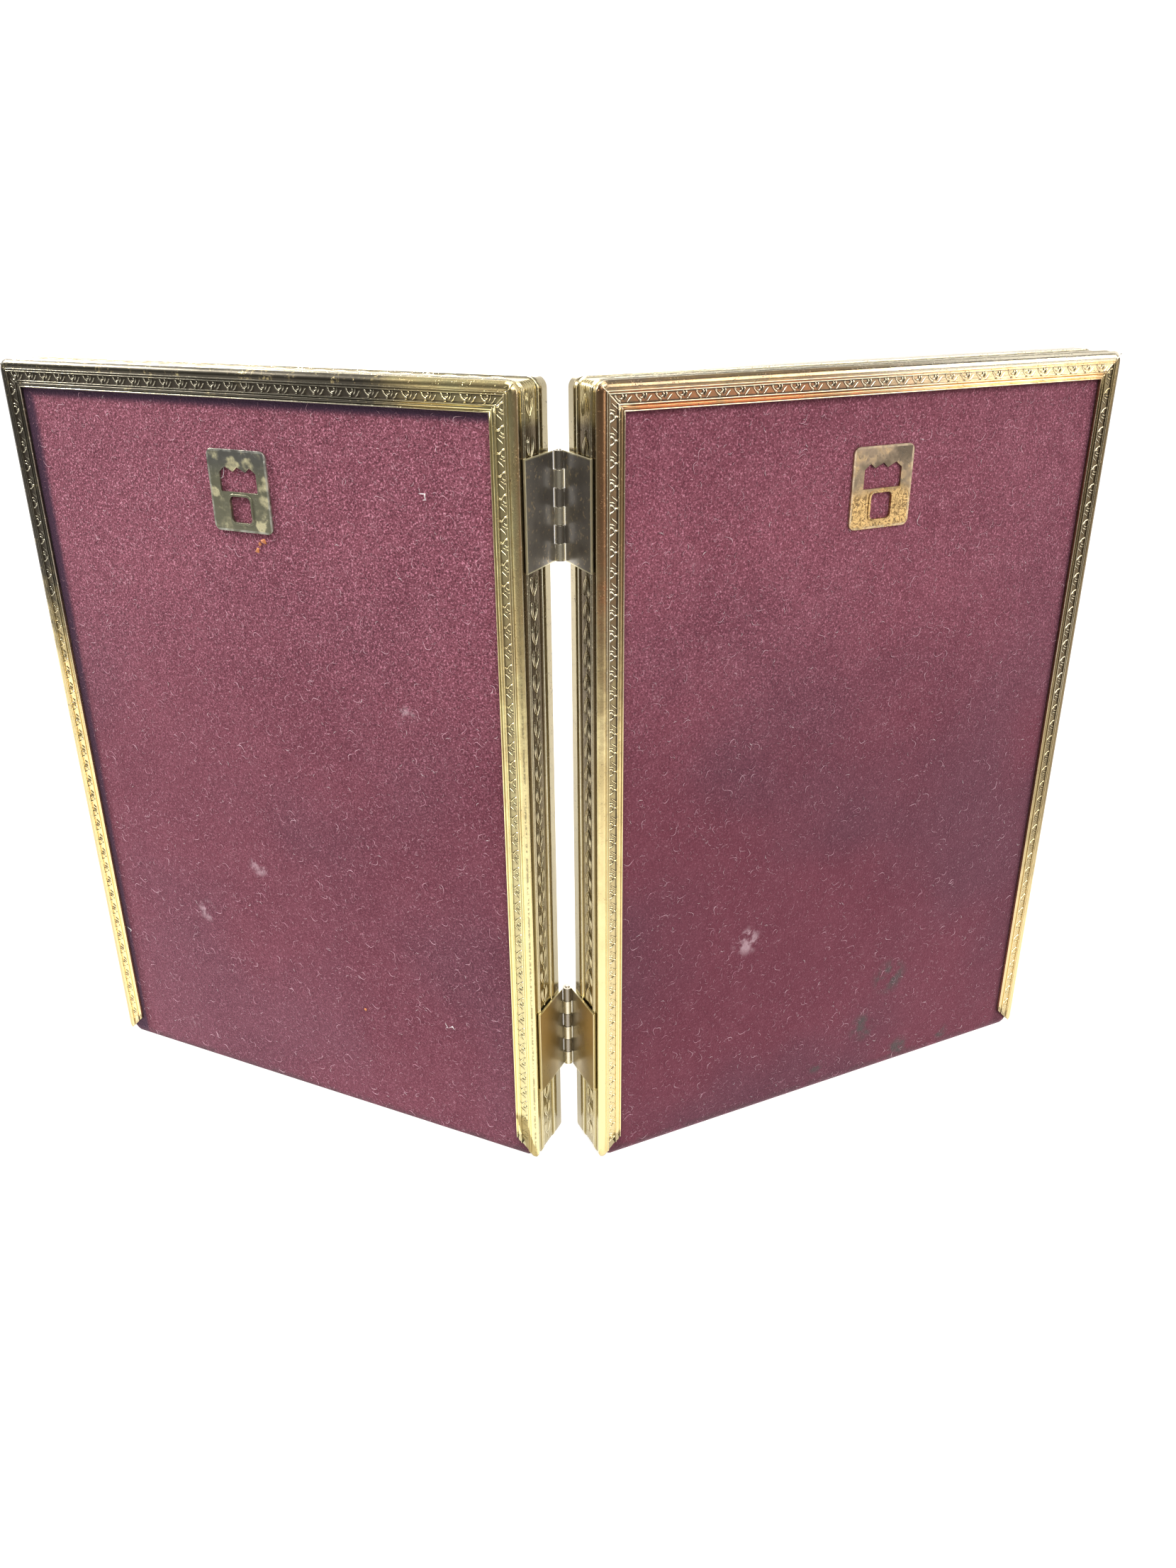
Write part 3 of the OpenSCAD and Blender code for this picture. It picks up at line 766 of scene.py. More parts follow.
# %% Raised seams on the top mitres
def seam_mesh(name, corner_u, turn):
    """A low ridge along a top mitre, from the edge bead to the lip, that follows the flange."""
    flange = np.array([(t, d) for t, d, _ in profile if t > 0.3 and d < 0.76 and t < 5.79])
    flange = flange[np.argsort(flange[:, 0])]
    points, faces = [], []
    for k, t in enumerate(np.arange(0.5, 5.45, 0.12)):
        low = np.interp(t, flange[:, 0], flange[:, 1])
        crest = max(0.0, low - 0.10)
        for shift, d in ((-0.09, low + 0.03), (0, crest), (0.09, low + 0.03)):
            points.append((corner_u + turn * (t + shift), LEAF_H - t + shift, d))
        if k:
            a = 3 * k - 3
            faces += [(a, a + 1, a + 4, a + 3), (a + 1, a + 2, a + 5, a + 4)]
    mesh = new_mesh(name, points, faces if turn > 0 else [f[::-1] for f in faces])
    carry(mesh, "rubbed", np.full(len(points), 1.0))
    return mesh


for word, side in SIDES.items():
    for place, corner_u, turn in (("hinge", 0.0, 1), ("outer", LEAF_W, -1)):
        name = f"{word}_{place}_mitre_seam"
        raise_piece(name, seam_mesh(name, corner_u, turn), side, word + "_leaf",
                    strip_brass_finish)

# %% [markdown]
# ## Ornament from Geometry Nodes
# The roller also presses a running scroll into the back flange and the front, and a garland of husks
# into the side walls. Each is one small motif repeated at an even pitch, so it is a job for Geometry
# Nodes: paths become points one pitch apart, and each point gets the motif, turned so that its X runs
# along the strip and its Z stands out of it. A motif is a few thin ridges with a three-sided section,
# because it is repeated hundreds of times.

# %% Motifs
def ridges(name, lines, height, shadow_skirt, flip=1):
    """Raised strokes with a skirt that is darkened as their painted shadow; each line is a list of (x, y,
    half width).
    """
    points, faces, shine = [], [], []
    for line in lines:
        xy = np.array([(p[0], p[1] * flip) for p in line], float)
        run = np.gradient(xy, axis=0)
        run /= np.linalg.norm(run, axis=1)[:, None]
        left = np.stack([-run[:, 1], run[:, 0]], 1)
        first = len(points)
        for (p, n, station) in zip(xy, left, line):
            half = station[2]
            rise = height * min(1.0, half / 0.16)
            for reach, z, bright in ((half + shadow_skirt, .02, 0), (half + .02, .05, 0), (half, .08, 1),
                                     (0, rise, 1), (-half, .08, 1), (-half - .02, .05, 0),
                                     (-half - shadow_skirt, .02, 0)):
                points.append((*(p + n * reach), z))
                shine.append(bright)
        for k in range(len(line) - 1):
            a, b = first + 7 * k, first + 7 * k + 7
            faces += [(a + i, b + i, b + i + 1, a + i + 1) for i in range(6)]
    mesh = new_mesh(name, points, faces if flip > 0 else [f[::-1] for f in faces])
    carry(mesh, "rubbed", shine)
    return bpy.data.objects.new(name, mesh)


SCROLL = [
    [(-1.98, .80, .10), (-1.80, .58, .19), (-1.66, .20, .10), (-1.34, -.14, .11), (-.98, -.40, .22),
     (-.92, -.72, .18), (-1.16, -.84, .06)],
    [(-1.04, .16, .05), (-.72, -.10, .08), (-.42, .16, .15), (-.28, .52, .20), (-.46, .78, .06)],
    [(.34, .78, .06), (.30, .44, .17), (.16, .04, .12), (-.06, -.34, .05)],
    [(.42, -.76, .05), (.80, -.44, .12), (1.10, .02, .08), (1.46, .34, .04)],
]
OUTER_HUSK = [(-2.20, 1.12, .06), (-1.5, 1.34, .15), (-.4, 1.36, .16), (.7, 1.02, .15),
              (1.6, .38, .13), (2.10, .03, .06)]
INNER_HUSK = [(-2.0, .52, .06), (-1.2, .72, .14), (-.1, .66, .14), (.9, .32, .11), (1.5, .05, .05)]
HUSK = [[(x, y * half, wide) for x, y, wide in line] for line in (OUTER_HUSK, INNER_HUSK)
        for half in (1, -1)] + [[(1.9, 0, .07), (2.4, 0, .13), (2.9, 0, .09), (3.3, 0, .05)]]
motifs = {(kind, side): ridges(f"{kind}_{side}", lines, height, shadow_skirt, side)
          for kind, lines, height, shadow_skirt in (("scroll", SCROLL, .30, .16), ("husk", HUSK, .24, .05))
          for side in (1, -1)}
print({m.name: len(m.data.polygons) for m in motifs.values()})

# %% The tree that repeats a motif along paths
def set_inputs(modifier, values):
    """Fills a modifier's inputs, found by name and set by identifier."""
    for item in modifier.node_group.interface.items_tree:
        if item.item_type == "SOCKET" and item.in_out == "INPUT" and item.name in values:
            modifier[item.identifier] = values[item.name]


def new_tree(name, inputs):
    tree = bpy.data.node_groups.new(name, "GeometryNodeTree")
    tree.interface.new_socket("Geometry", in_out="INPUT", socket_type="NodeSocketGeometry")
    for label, kind in inputs:
        tree.interface.new_socket(label, in_out="INPUT", socket_type="NodeSocket" + kind)
    tree.interface.new_socket("Geometry", in_out="OUTPUT", socket_type="NodeSocketGeometry")
    graph = Graph(tree)
    first = graph.node("NodeGroupInput")
    sockets = dict(zip(["Geometry"] + [i[0] for i in inputs],
                       graph.outputs(first, *range(len(inputs) + 1))))
    return graph, sockets


def close_tree(graph, geometry, material):
    solid = graph.node("GeometryNodeRealizeInstances", None, {"Geometry": geometry})
    done = graph.node("GeometryNodeSetMaterial", None, {"Geometry": solid, "Material": material})
    end = graph.tree.nodes.new("NodeGroupOutput")
    graph.tree.links.new(done.socket, end.inputs[0])
    return graph.tree


def named_vector(graph, name):
    return graph.node("GeometryNodeInputNamedAttribute", {"data_type": "FLOAT_VECTOR"},
                      {"Name": name})


def random_number(graph, low, high, seed, extra):
    """A random number for each point, with its own share of the seed."""
    node = graph.tree.nodes.new("FunctionNodeRandomValue")
    node.data_type = "FLOAT"
    for socket, value in (("Min_001", low), ("Max_001", high)):
        found = next(i for i in node.inputs if i.identifier == socket)
        if isinstance(value, Wire):
            graph.tree.links.new(value.socket, found)
        else:
            found.default_value = value
    graph.tree.links.new((seed + extra).socket, next(i for i in node.inputs if i.name == "Seed"))
    return Wire(graph, next(o for o in node.outputs if o.enabled))


def ornament_tree():
    graph, given = new_tree("repeat_along", [("Motif", "Object"), ("Pitch", "Float"),
                                             ("Uneven", "Float"), ("Seed", "Int"),
                                             ("Material", "Material")])
    path = graph.node("GeometryNodeMeshToCurve", None, {"Mesh": given["Geometry"]})
    points = graph.node("GeometryNodeCurveToPoints", {"mode": "LENGTH"},
                        {"Curve": path, "Length": given["Pitch"]})
    tangent = graph.outputs(points, "Tangent")[0]
    turn = graph.node("FunctionNodeAxesToRotation", {"primary_axis": "Z", "secondary_axis": "X"}, {
        "Primary Axis": named_vector(graph, "outward"), "Secondary Axis": tangent})
    sizes = [random_number(graph, 1 - given["Uneven"], 1 + given["Uneven"], given["Seed"], k)
             for k in range(3)]
    scale = graph.node("ShaderNodeCombineXYZ", None, dict(enumerate(sizes)))
    motif = graph.node("GeometryNodeObjectInfo", None, {"Object": given["Motif"]}, out="Geometry")
    placed = graph.node("GeometryNodeInstanceOnPoints", None, {
        "Points": points, "Instance": motif, "Rotation": turn, "Scale": scale})
    return close_tree(graph, placed, given["Material"])


def realised(name, mesh, tree, values):
    """Runs a Geometry Nodes tree on a mesh and returns the plain mesh that comes out."""
    carrier = add_object(name + "_carrier", mesh)
    modifier = carrier.modifiers.new("pattern", "NODES")
    modifier.node_group = tree
    set_inputs(modifier, values)
    bpy.context.view_layer.update()
    graph = bpy.context.evaluated_depsgraph_get()
    made = bpy.data.meshes.new_from_object(carrier.evaluated_get(graph), depsgraph=graph)
    carrier.modifiers.clear()
    bpy.data.objects.remove(carrier)
    return made


repeat_along = ornament_tree()

# %% [markdown]
# ## Where the ornament runs
# The strip was cut from one length and bent round, so the pattern runs the same way round: clockwise,
# seen from behind, on both leaves. On the mirrored left leaf that is the other way along each path.
# The garland leaves room where the hinge plates are soldered over it.

# %% Paths and ornament pieces
def paths_mesh(name, runs, side):
    """One edge for each run ((start), (end), (outward)), turned round on the mirrored leaf."""
    points, edges, out = [], [], []
    for start, end, outward in runs:
        ends = (start, end) if side > 0 else (end, start)
        edges.append((len(points), len(points) + 1))
        points += ends
        out += [outward, outward]
    mesh = new_mesh(name, points, [], edges)
    carry(mesh, "outward", out)
    return mesh


def going_up(u, start, end, d, outward):
    return (u, start, d), (u, end, d), outward


def going_across(v, start, end, d, outward):
    return (start, v, d), (end, v, d), outward


def flange_runs(t, d, foot, head):
    w, h, back = LEAF_W, LEAF_H, (0, 0, -1)
    return [going_up(w - t, foot, h - head, d, back), going_across(h - t, w - head, head, d, back),
            going_up(t, h - head, foot, d, back)]


def front_runs(t, d, end):
    w, h, front = LEAF_W, LEAF_H, (0, 0, 1)
    return [going_up(w - t, h - end, end, d, front), going_across(h - t, end, w - end, d, front),
            going_up(t, end, h - end, d, front), going_across(t, w - end, end, d, front)]


BETWEEN_PLATES = ((178.2, 170.2), (143.2, 45.0), (17.0, 6.0))


def wall_runs(t, d, end):
    w, h = LEAF_W, LEAF_H
    return [going_up(w - t, end, h - end, d, (1, 0, 0)), going_across(h - t, w - end, end, d, (0, 1, 0)),
            going_across(t, end, w - end, d, (0, -1, 0))] + [
                going_up(t, high, low, d, (-1, 0, 0)) for high, low in BETWEEN_PLATES]


ORNAMENT = [
    ("flange_scroll", "scroll", flange_runs(3.40, .35, 7.0, 5.6), 4.2),
    ("front_scroll", "scroll", front_runs(3.25, 13.65, 7.4), 4.2),
    ("wall_garland", "husk", wall_runs(.36, 6.3, 7.4), 5.0),
]
for word, side in SIDES.items():
    for seed, (name, kind, runs, pitch) in enumerate(ORNAMENT):
        made = realised(name, paths_mesh(name, runs, side), repeat_along, {
            "Motif": motifs[kind, side], "Pitch": pitch, "Uneven": 0.05, "Seed": seed,
            "Material": strip_brass_finish})
        raise_piece(f"{word}_{name}", made, side, word + "_leaf", strip_brass_finish)

# %% [markdown]
# ## Velvet with its pile and its lint
# The back board is covered with burgundy cotton velvet that has faded, gathered pale lint and taken a
# few stains. The cloth is glued down, so it is a thin slab with a slightly uneven face. The pile is
# too fine to model hair by hair; the finish gives its colour, and real fibres, lint and flakes lie on
# top as meshes from Geometry Nodes.

# %% Velvet finish
STAINS = [(-85.7, 28.7, 6.5), (-78.5, 14.6, 5.5), (-91.4, 3.9, 4.5), (-63.9, 7.2, 3.5),
          (-106.4, 4.6, 3.0)]
SMEARS = [(76.6, 65.2, 3.5), (107.9, 9.1, 3.0), (30.0, 112.0, 3.5), (96.0, 48.0, 4.0),
          (-40.0, 52.0, 5.0)]


def velvet():
    f = Finish("burgundy_velvet_pile")
    across, up = f.on_leaf()[:2]
    u = across.size()
    left = across.step(1.0, -1.0)
    cloud = f.noise(28.0, 3.0, 0.6)
    nap = f.noise(230.0, 4.0, 0.7)
    tufts = f.noise(2500.0, 1.5, 0.6)
    fine = f.noise(5200.0, 1.0, 0.5)
    grit = tufts * 0.7 + fine * 0.3
    rich = left * -0.20 + up.step(60.0, 130.0) * 0.28 + 0.68
    shade = f.mix((0.085, 0.018, 0.030), (0.050, 0.022, 0.034),
                  f.noise(16.0, 2.0, 0.5).step(0.40, 0.60))
    # Painted shade: a thin dark band on the cloth along both side rails and under the top rail.
    edge = (u - LEAF_W / 2).size().step(58.3, 60.6).most(up.step(175.2, 177.2))
    # Painted shadow on the right leaf's cloth: a dark band beside its outer rail, wider towards the top,
    # and one under its top rail.
    reach = 0.9 + up * 0.012
    rail_shadow = ((u - 126.2) / reach + 1.0).step(-0.20, 0.50).most((up - 177.2).step(-2.6, -0.8))
    # Painted shadow along the cloth's bottom edge, mixed with its dark cut edge.
    foot = up.step(3.2, 0.8) * nap.step(0.35, 0.60)
    blot = f.noise(240.0, 4.0, 0.65)
    colour = f.coats(
        (0.165, 0.047, 0.068),
        ((0.215, 0.066, 0.092), cloud.step(0.30, 0.70)),
        ((0.270, 0.100, 0.132), nap.step(0.40, 0.74) * 0.45),
        ((0.050, 0.015, 0.022), grit.step(0.50, 0.36) * rich * 0.80),
        ((0.660, 0.280, 0.370), grit.step(0.53, 0.67) * rich * 0.80),
        ((0.62, 0.48, 0.52), (nap * 0.5 + tufts * 0.5).step(0.62, 0.72) * 0.5),
        (shade, up.step(158.0, 84.0) * 0.47 + left * (0.10 + up.step(120.0, 60.0) * 0.08)),
        ((0.045, 0.014, 0.022), edge * 0.5),
        ((0.050, 0.032, 0.058), rail_shadow * (1 - left) * 0.92),
        ((0.050, 0.040, 0.040), foot * 0.7),
        ((0.060, 0.066, 0.060), f.near(STAINS) * blot.step(0.40, 0.58) * 0.85),
        ((0.56, 0.42, 0.46), f.near(SMEARS) * blot.step(0.46, 0.62) * 0.50))
    normal = f.bump(nap * 0.5 + tufts * 0.9 + fine * 0.4, 0.00036, 0.8)
    return f.surface(Base_Color=colour, Roughness=0.85, Sheen_Weight=0.34, Sheen_Roughness=0.4,
                     Sheen_Tint=(1.0, 0.50, 0.64), Specular_IOR_Level=0.08, Normal=normal)


velvet_finish = velvet()

# %% Velvet cover pieces
VELVET_U = (1.35, 130.65)
VELVET_V = (0.4, 181.65)
VELVET_D = (1.0, 1.7)
NIP = 1.55


def velvet_mesh(name, seed):
    """A closed thin slab: a fine uneven face, a soft rounded rim and a flat glued side."""
    nu, nv = 130, 182
    us = np.linspace(*VELVET_U, nu)
    vs = np.linspace(*VELVET_V, nv)
    draw = np.random.default_rng(seed)
    waves = [(draw.uniform(.05, .5, 2), draw.uniform(0, 6.3), draw.uniform(.2, 1)) for _ in range(14)]
    points = []
    for layer in (0, 1):
        for v in vs:
            for u in us:
                from_side = min(u - VELVET_U[0], VELVET_U[1] - u)
                from_end = min(v - VELVET_V[0], VELVET_V[1] - v)
                rim = min(from_side, from_end)
                shift = max(0.0, NIP - from_side - from_end) / 2
                pu = u + shift * (1 if u < LEAF_W / 2 else -1)
                pv = v + shift * (1 if v < LEAF_H / 2 else -1)
                if layer:
                    points.append((pu, pv, VELVET_D[1]))
                    continue
                swell = sum(w * math.sin(k[0] * u + k[1] * v + p) for k, p, w in waves) / 14
                fall = 0.30 * max(0.0, 1 - rim / 0.9) ** 2
                points.append((pu, pv, VELVET_D[0] + 0.05 + 0.05 * swell + fall))
    faces = []
    half = nu * nv
    for j in range(nv - 1):
        for i in range(nu - 1):
            a = j * nu + i
            faces.append((a, a + nu, a + nu + 1, a + 1))
            faces.append((half + a, half + a + 1, half + a + nu + 1, half + a + nu))
    loop = (list(range(nu - 1)) + [j * nu + nu - 1 for j in range(nv - 1)]
            + [(nv - 1) * nu + i for i in range(nu - 1, 0, -1)]
            + [j * nu for j in range(nv - 1, 0, -1)])
    for a, b in zip(loop, loop[1:] + loop[:1]):
        faces.append((a, b, half + b, half + a))
    return new_mesh(name, points, faces)


for word, side in SIDES.items():
    name = word + "_velvet_pile"
    cover = raise_piece(name, velvet_mesh(name, 5 + side), side, word + "_back",
                        velvet_finish)
    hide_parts(word + "_velvet_cover")
    word + "_back_board"

# %% [markdown]
# ## Fibres and lint
# Look closely at old velvet and it is covered with short pale fibres, a few longer hairs, and white
# specks. The fibre is a bent three-sided sliver. Geometry Nodes scatters it over the face of the
# cloth, and turns and sizes each one at random from a fixed seed.

# %% The tree that scatters fibres
def sliver(name, length, half, bend, segments):
    """A thin bent fibre that lies along X, three-sided and closed at its points."""
    points, faces = [], []
    for k in range(segments + 1):
        s = k / segments
        thick = half * (0.25 + 3.0 * s * (1 - s))
        x = length * (s - 0.5)
        y = bend * math.sin(s * math.pi * 1.3)
        z = 0.04 + 0.10 * math.sin(s * math.pi)
        for a in map(math.radians, (90, 210, 330)):
            points.append((x, y + thick * math.cos(a), z + thick * math.sin(a)))
    for k in range(segments):
        for i in range(3):
            a, b = 3 * k + i, 3 * k + (i + 1) % 3
            faces.append((a, b, b + 3, a + 3))
    faces.append((2, 1, 0))
    last = 3 * segments
    faces.append((last, last + 1, last + 2))
    return bpy.data.objects.new(name, new_mesh(name, points, faces))


def scatter_tree():
    graph, given = new_tree("scatter_fibres", [("Fibre", "Object"), ("Density", "Float"),
                                               ("Smallest", "Float"), ("Largest", "Float"),
                                               ("Seed", "Int"), ("Material", "Material")])
    points = graph.node("GeometryNodeDistributePointsOnFaces", {"distribute_method": "RANDOM"}, {
        "Mesh": given["Geometry"], "Density": given["Density"], "Seed": given["Seed"]})
    normal = graph.outputs(points, "Normal")[0]
    flat = graph.node("FunctionNodeAlignRotationToVector", {"axis": "Z"}, {"Vector": normal})
    spin = graph.node("ShaderNodeCombineXYZ", None,
                      {2: random_number(graph, 0.0, 6.283, given["Seed"], 7)})
    spun = graph.node("FunctionNodeRotateRotation", {"rotation_space": "LOCAL"}, {
        "Rotation": flat,
        "Rotate By": graph.node("FunctionNodeEulerToRotation", None, {"Euler": spin})})
    size = random_number(graph, given["Smallest"], given["Largest"], given["Seed"], 11)
    fibre = graph.node("GeometryNodeObjectInfo", None, {"Object": given["Fibre"]}, out="Geometry")
    placed = graph.node("GeometryNodeInstanceOnPoints", None, {
        "Points": points, "Instance": fibre, "Rotation": spun,
        "Scale": graph.node("ShaderNodeCombineXYZ", None, {0: size, 1: size, 2: 1.0})})
    return close_tree(graph, placed, given["Material"])


scatter = scatter_tree()

# %% Lint finishes
def lint(name, pale, deep, rough):
    f = Finish(name)
    tone = f.noise(600.0, 2.0, 0.6)
    return f.surface(Base_Color=f.mix(deep, pale, tone.step(0.35, 0.65)), Roughness=rough - tone * 0.1,
                     Sheen_Weight=0.3)


fibre_finish = lint("velvet_fibres", (0.56, 0.34, 0.40), (0.30, 0.10, 0.14), 0.85)
hair_finish = lint("pink_hairs", (0.84, 0.56, 0.64), (0.50, 0.22, 0.30), 0.8)
speck_finish = lint("pale_lint", (0.86, 0.80, 0.80), (0.55, 0.42, 0.46), 0.9)


def face_patch(name):
    """The face of the cloth inside the flange, as one quad for the fibres to land on."""
    low, high, d = (6.6, 1.2), (125.4, 176.2), VELVET_D[0]
    corners = [(*low, d), (low[0], high[1], d), (*high, d), (high[0], low[1], d)]
    return new_mesh(name, corners, [(0, 1, 2, 3)], smooth=False)


short_fibre = sliver("short_fibre", 0.7, 0.036, 0.10, 2)
long_hair = sliver("long_hair", 2.3, 0.050, 0.6, 7)
LINT = [
    ("fibres", short_fibre, 0.42, 0.5, 1.6, fibre_finish),
    ("hairs", long_hair, 0.0320, 0.30, 1.2, hair_finish),
    ("lint", short_fibre, 0.0140, 0.6, 1.8, speck_finish),
]
for word, side in SIDES.items():
    for seed, (name, shape, density, least, most, finish) in enumerate(LINT):
        made = realised(name, face_patch(name), scatter, {
            "Fibre": shape, "Density": density, "Smallest": least, "Largest": most,
            "Seed": 20 * seed + side + 3, "Material": finish})
        raise_piece(f"{word}_{name}", made, side, word + "_back", finish)

# %% Single marks that the picture shows
def chip(name):
    """A flat flake of rust with a ragged rim, lying on the cloth."""
    rim = [0.62, 0.45, 0.70, 0.52, 0.76, 0.42, 0.58]
    points = [(0, 0, 0.30)]
    for share, z in ((0.6, 0.26), (1.0, 0.0)):
        for i, r in enumerate(rim):
            a = FULL_TURN * i / len(rim)
            points.append((share * r * math.cos(a), share * r * math.sin(a) * 0.8, z))
    count = len(rim)
    faces = []
    for i in range(count):
        j = (i + 1) % count
        faces += [(0, 1 + j, 1 + i), (1 + i, 1 + j, 1 + count + j, 1 + count + i)]
    return bpy.data.objects.new(name, new_mesh(name, points, faces, smooth=False))


rust_chip = chip("rust_chip")
flake_finish = lint("rust_flakes", (0.66, 0.26, 0.07), (0.40, 0.13, 0.04), 0.8)
MARKS = {
    "right": [("tuft", short_fibre, 21.8, 160.6, 2.0, 1.0, speck_finish),
              ("tuft", short_fibre, 21.5, 160.2, 1.7, 2.2, speck_finish),
              ("tuft", short_fibre, 23.0, 32.5, 1.9, 0.4, speck_finish),
              ("tuft", short_fibre, 24.6, 32.6, 1.6, 1.9, speck_finish),
              ("tuft", short_fibre, 125.2, 34.9, 1.9, 1.4, speck_finish),
              ("hair", long_hair, 72.3, 162.0, 2.1, 2.5, speck_finish),
              ("flake", rust_chip, 63.0, 147.7, 1.25, 0.3, flake_finish),
              ("flake", rust_chip, 64.0, 147.1, 0.8, 1.5, flake_finish),
              ("flake", rust_chip, 64.9, 145.6, 1.15, 2.3, flake_finish),
              ("flake", rust_chip, 48.3, 30.6, 0.7, 0.9, flake_finish)],
    "left": [("hair", long_hair, 79.1, 149.9, 1.3, 1.9, speck_finish),
             ("tuft", short_fibre, 51.5, 173.4, 1.6, 0.2, fibre_finish)],
}
for word, marks in MARKS.items():
    for i, (kind, shape, u, v, size, turn, finish) in enumerate(marks):
        shaped = points_of(shape.data)
        grow = (1.1, 4.0, 2.5) if kind == "tuft" else (1, 1, 1)
        shaped = shaped * grow * (size, size, 1)
        mark = shape.data.copy()
        across = shaped[:, 0] * math.cos(turn) - shaped[:, 1] * math.sin(turn)
        along = shaped[:, 0] * math.sin(turn) + shaped[:, 1] * math.cos(turn)
        set_points(mark, np.stack([u + across, v + along, VELVET_D[0] - shaped[:, 2]], 1))
        raise_piece(f"{word}_{kind}_{i}", mark, SIDES[word], word + "_back", finish)

# %% [markdown]
# ## Hinges, hangers and pins
# These solids are already right. Real sheet metal has no knife edges, so a copy of each is merged,
# given a small bevel and even shading, and stands for the plain one. The hinges are darker than the
# strip, and the hangers have dulled to a spotted grey-gold.

# %% Metal finishes
UPPER_HINGE_V = 157.6
LOWER_HINGE_V = 31.0
PLATE_HALF = 11.0


def hinge_brass():
    """Soft clouds on a smooth plate, painted grey above and brown gold below as a painted reflection,
    with a painted highlight on its edges.
    """
    f = Finish("hinge_brass_worn")
    across, up, depth = f.on_leaf()
    u = across.size()
    right = across.step(-0.3, 0.3)
    cloud = f.noise(110.0, 2.0, 0.5)
    patch = f.noise(500.0, 4.0, 0.65)
    pits = f.noise(2400.0, 2.0, 0.5)
    # Painted reflection: the lower plates are painted brown gold and the upper ones grey.
    low = up.step(110.0, 40.0)
    rolled = depth.step(14.3, 14.5) * u.step(0.46, 0.6)
    spots = pits.step(0.58, 0.70) * patch.step(0.48, 0.66)
    flecks = (f.noise(1300.0, 2.0, 0.5).step(0.585, 0.66) * patch.step(0.38, 0.56)
              * (1 - low) * (1 - rolled))
    # Painted highlight: a pale line along the plates' ends and back edge.
    from_middle = (up - UPPER_HINGE_V).size().least((up - LOWER_HINGE_V).size())
    rim = from_middle.step(PLATE_HALF - 0.25, PLATE_HALF - 0.1).most(depth.step(2.62, 2.5)) * (1 - rolled)
    colour = f.coats(
        (0.27, 0.250, 0.226),
        ((0.62, 0.50, 0.28), low),
        ((0.50, 0.46, 0.40), (cloud * 0.8 + patch * 0.2).step(0.42, 0.66) * (0.5 - low * 0.3)),
        ((0.13, 0.11, 0.07), depth.step(10.0, 14.2) * low * 0.8),
        (f.mix((0.70, 0.65, 0.50), (0.30, 0.27, 0.22), right), rolled),
        (DIRT, spots * 0.5),
        ((0.80, 0.64, 0.40), flecks * 0.7),
        ((0.93, 0.86, 0.58), rim * 0.85))
    normal = f.bump(cloud, 0.0006, 0.25)
    normal = f.bump(patch - spots, 0.00003, 0.5, normal)
    return f.surface(Base_Color=colour, Metallic=0.84 + low * 0.16 - spots * 0.3,
                     Roughness=0.26 + patch * 0.08 + spots * 0.2 - rolled * 0.08, Normal=normal)


HANGER_MIDDLE = (67.5, 158.1)
HANGER_HALF = (7.8, 8.7)
GILDED = [(64.5, 163.8, 2.2), (68.5, 163.6, 2.6), (60.9, 160.0, 2.4), (61.2, 156.6, 1.8),
          (62.6, 151.0, 1.9), (74.2, 157.6, 1.8)]


def hanger_brass():
    """Grey-green tarnish with gold patches; the left one has kept its lower half."""
    f = Finish("hanger_brass_dull")
    across, up = f.on_leaf()[:2]
    left = across.step(1.0, -1.0)
    cloud = f.noise(210.0, 3.0, 0.6)
    patch = f.noise(520.0, 4.0, 0.6)
    pits = f.noise(1700.0, 2.0, 0.5)
    low = (up + cloud * 6.0).step(162.0, 159.0)
    gilt = f.near(GILDED) * 0.55 + patch * 1.8 + cloud * 0.7 - 1.42
    gold = (gilt.step(-0.05, 0.52) * (1 - left) + low * left * 0.80
            + (cloud + patch * 0.5 - 0.72).step(0.05, 0.25) * 0.35).least(1.0)
    copper = f.mix((0.12, 0.085, 0.055), (0.34, 0.25, 0.17), cloud.step(0.36, 0.62))
    spots = pits.step(0.54, 0.66) * patch.step(0.45, 0.60)
    veins = (f.noise(620.0, 3.0, 0.6, warp=1.2) - 0.5).size().step(0.070, 0.010) * low * left
    # Painted highlight: a pale line along the hanger's edges.
    beside = (across.size() - HANGER_MIDDLE[0]).size() - HANGER_HALF[0]
    rim = beside.most((up - HANGER_MIDDLE[1]).size() - HANGER_HALF[1]).step(-0.55, -0.40)
    colour = f.coats(
        (0.225, 0.220, 0.150),
        ((0.170, 0.170, 0.160), up.step(160.0, 165.5) * 0.8),
        (copper, left * 0.85),
        (f.mix((0.80, 0.74, 0.46), (0.78, 0.52, 0.22), left), gold),
        ((0.050, 0.045, 0.030), spots * (0.50 + left * low * 0.42)),
        ((0.16, 0.095, 0.040), veins * 0.85),
        (f.mix((0.62, 0.62, 0.54), (0.60, 0.48, 0.33), left),
         rim * (patch * 1.4 - 0.1).step(0.30, 0.75) * 0.65))
    normal = f.bump(patch * 0.6 - spots * 0.5 - veins * 0.5, 0.00005, 0.6)
    return f.surface(Base_Color=colour, Metallic=0.88 - spots * 0.3,
                     Roughness=0.24 + patch * 0.16 + spots * 0.2, Normal=normal)


def pin_steel():
    f = Finish("pin_steel_worn")
    patch = f.noise(700.0, 3.0, 0.6)
    return f.surface(Base_Color=f.mix((0.30, 0.27, 0.22), (0.66, 0.62, 0.52), patch.step(0.35, 0.65)),
                     Metallic=1.0, Roughness=0.16 + patch * 0.16)


hinge_finish = hinge_brass()
hanger_finish = hanger_brass()
pin_finish = pin_steel()


# %% Merged and bevelled copies
def join_flat_faces(body):
    bmesh.ops.dissolve_limit(body, angle_limit=math.radians(1), verts=body.verts, edges=body.edges)


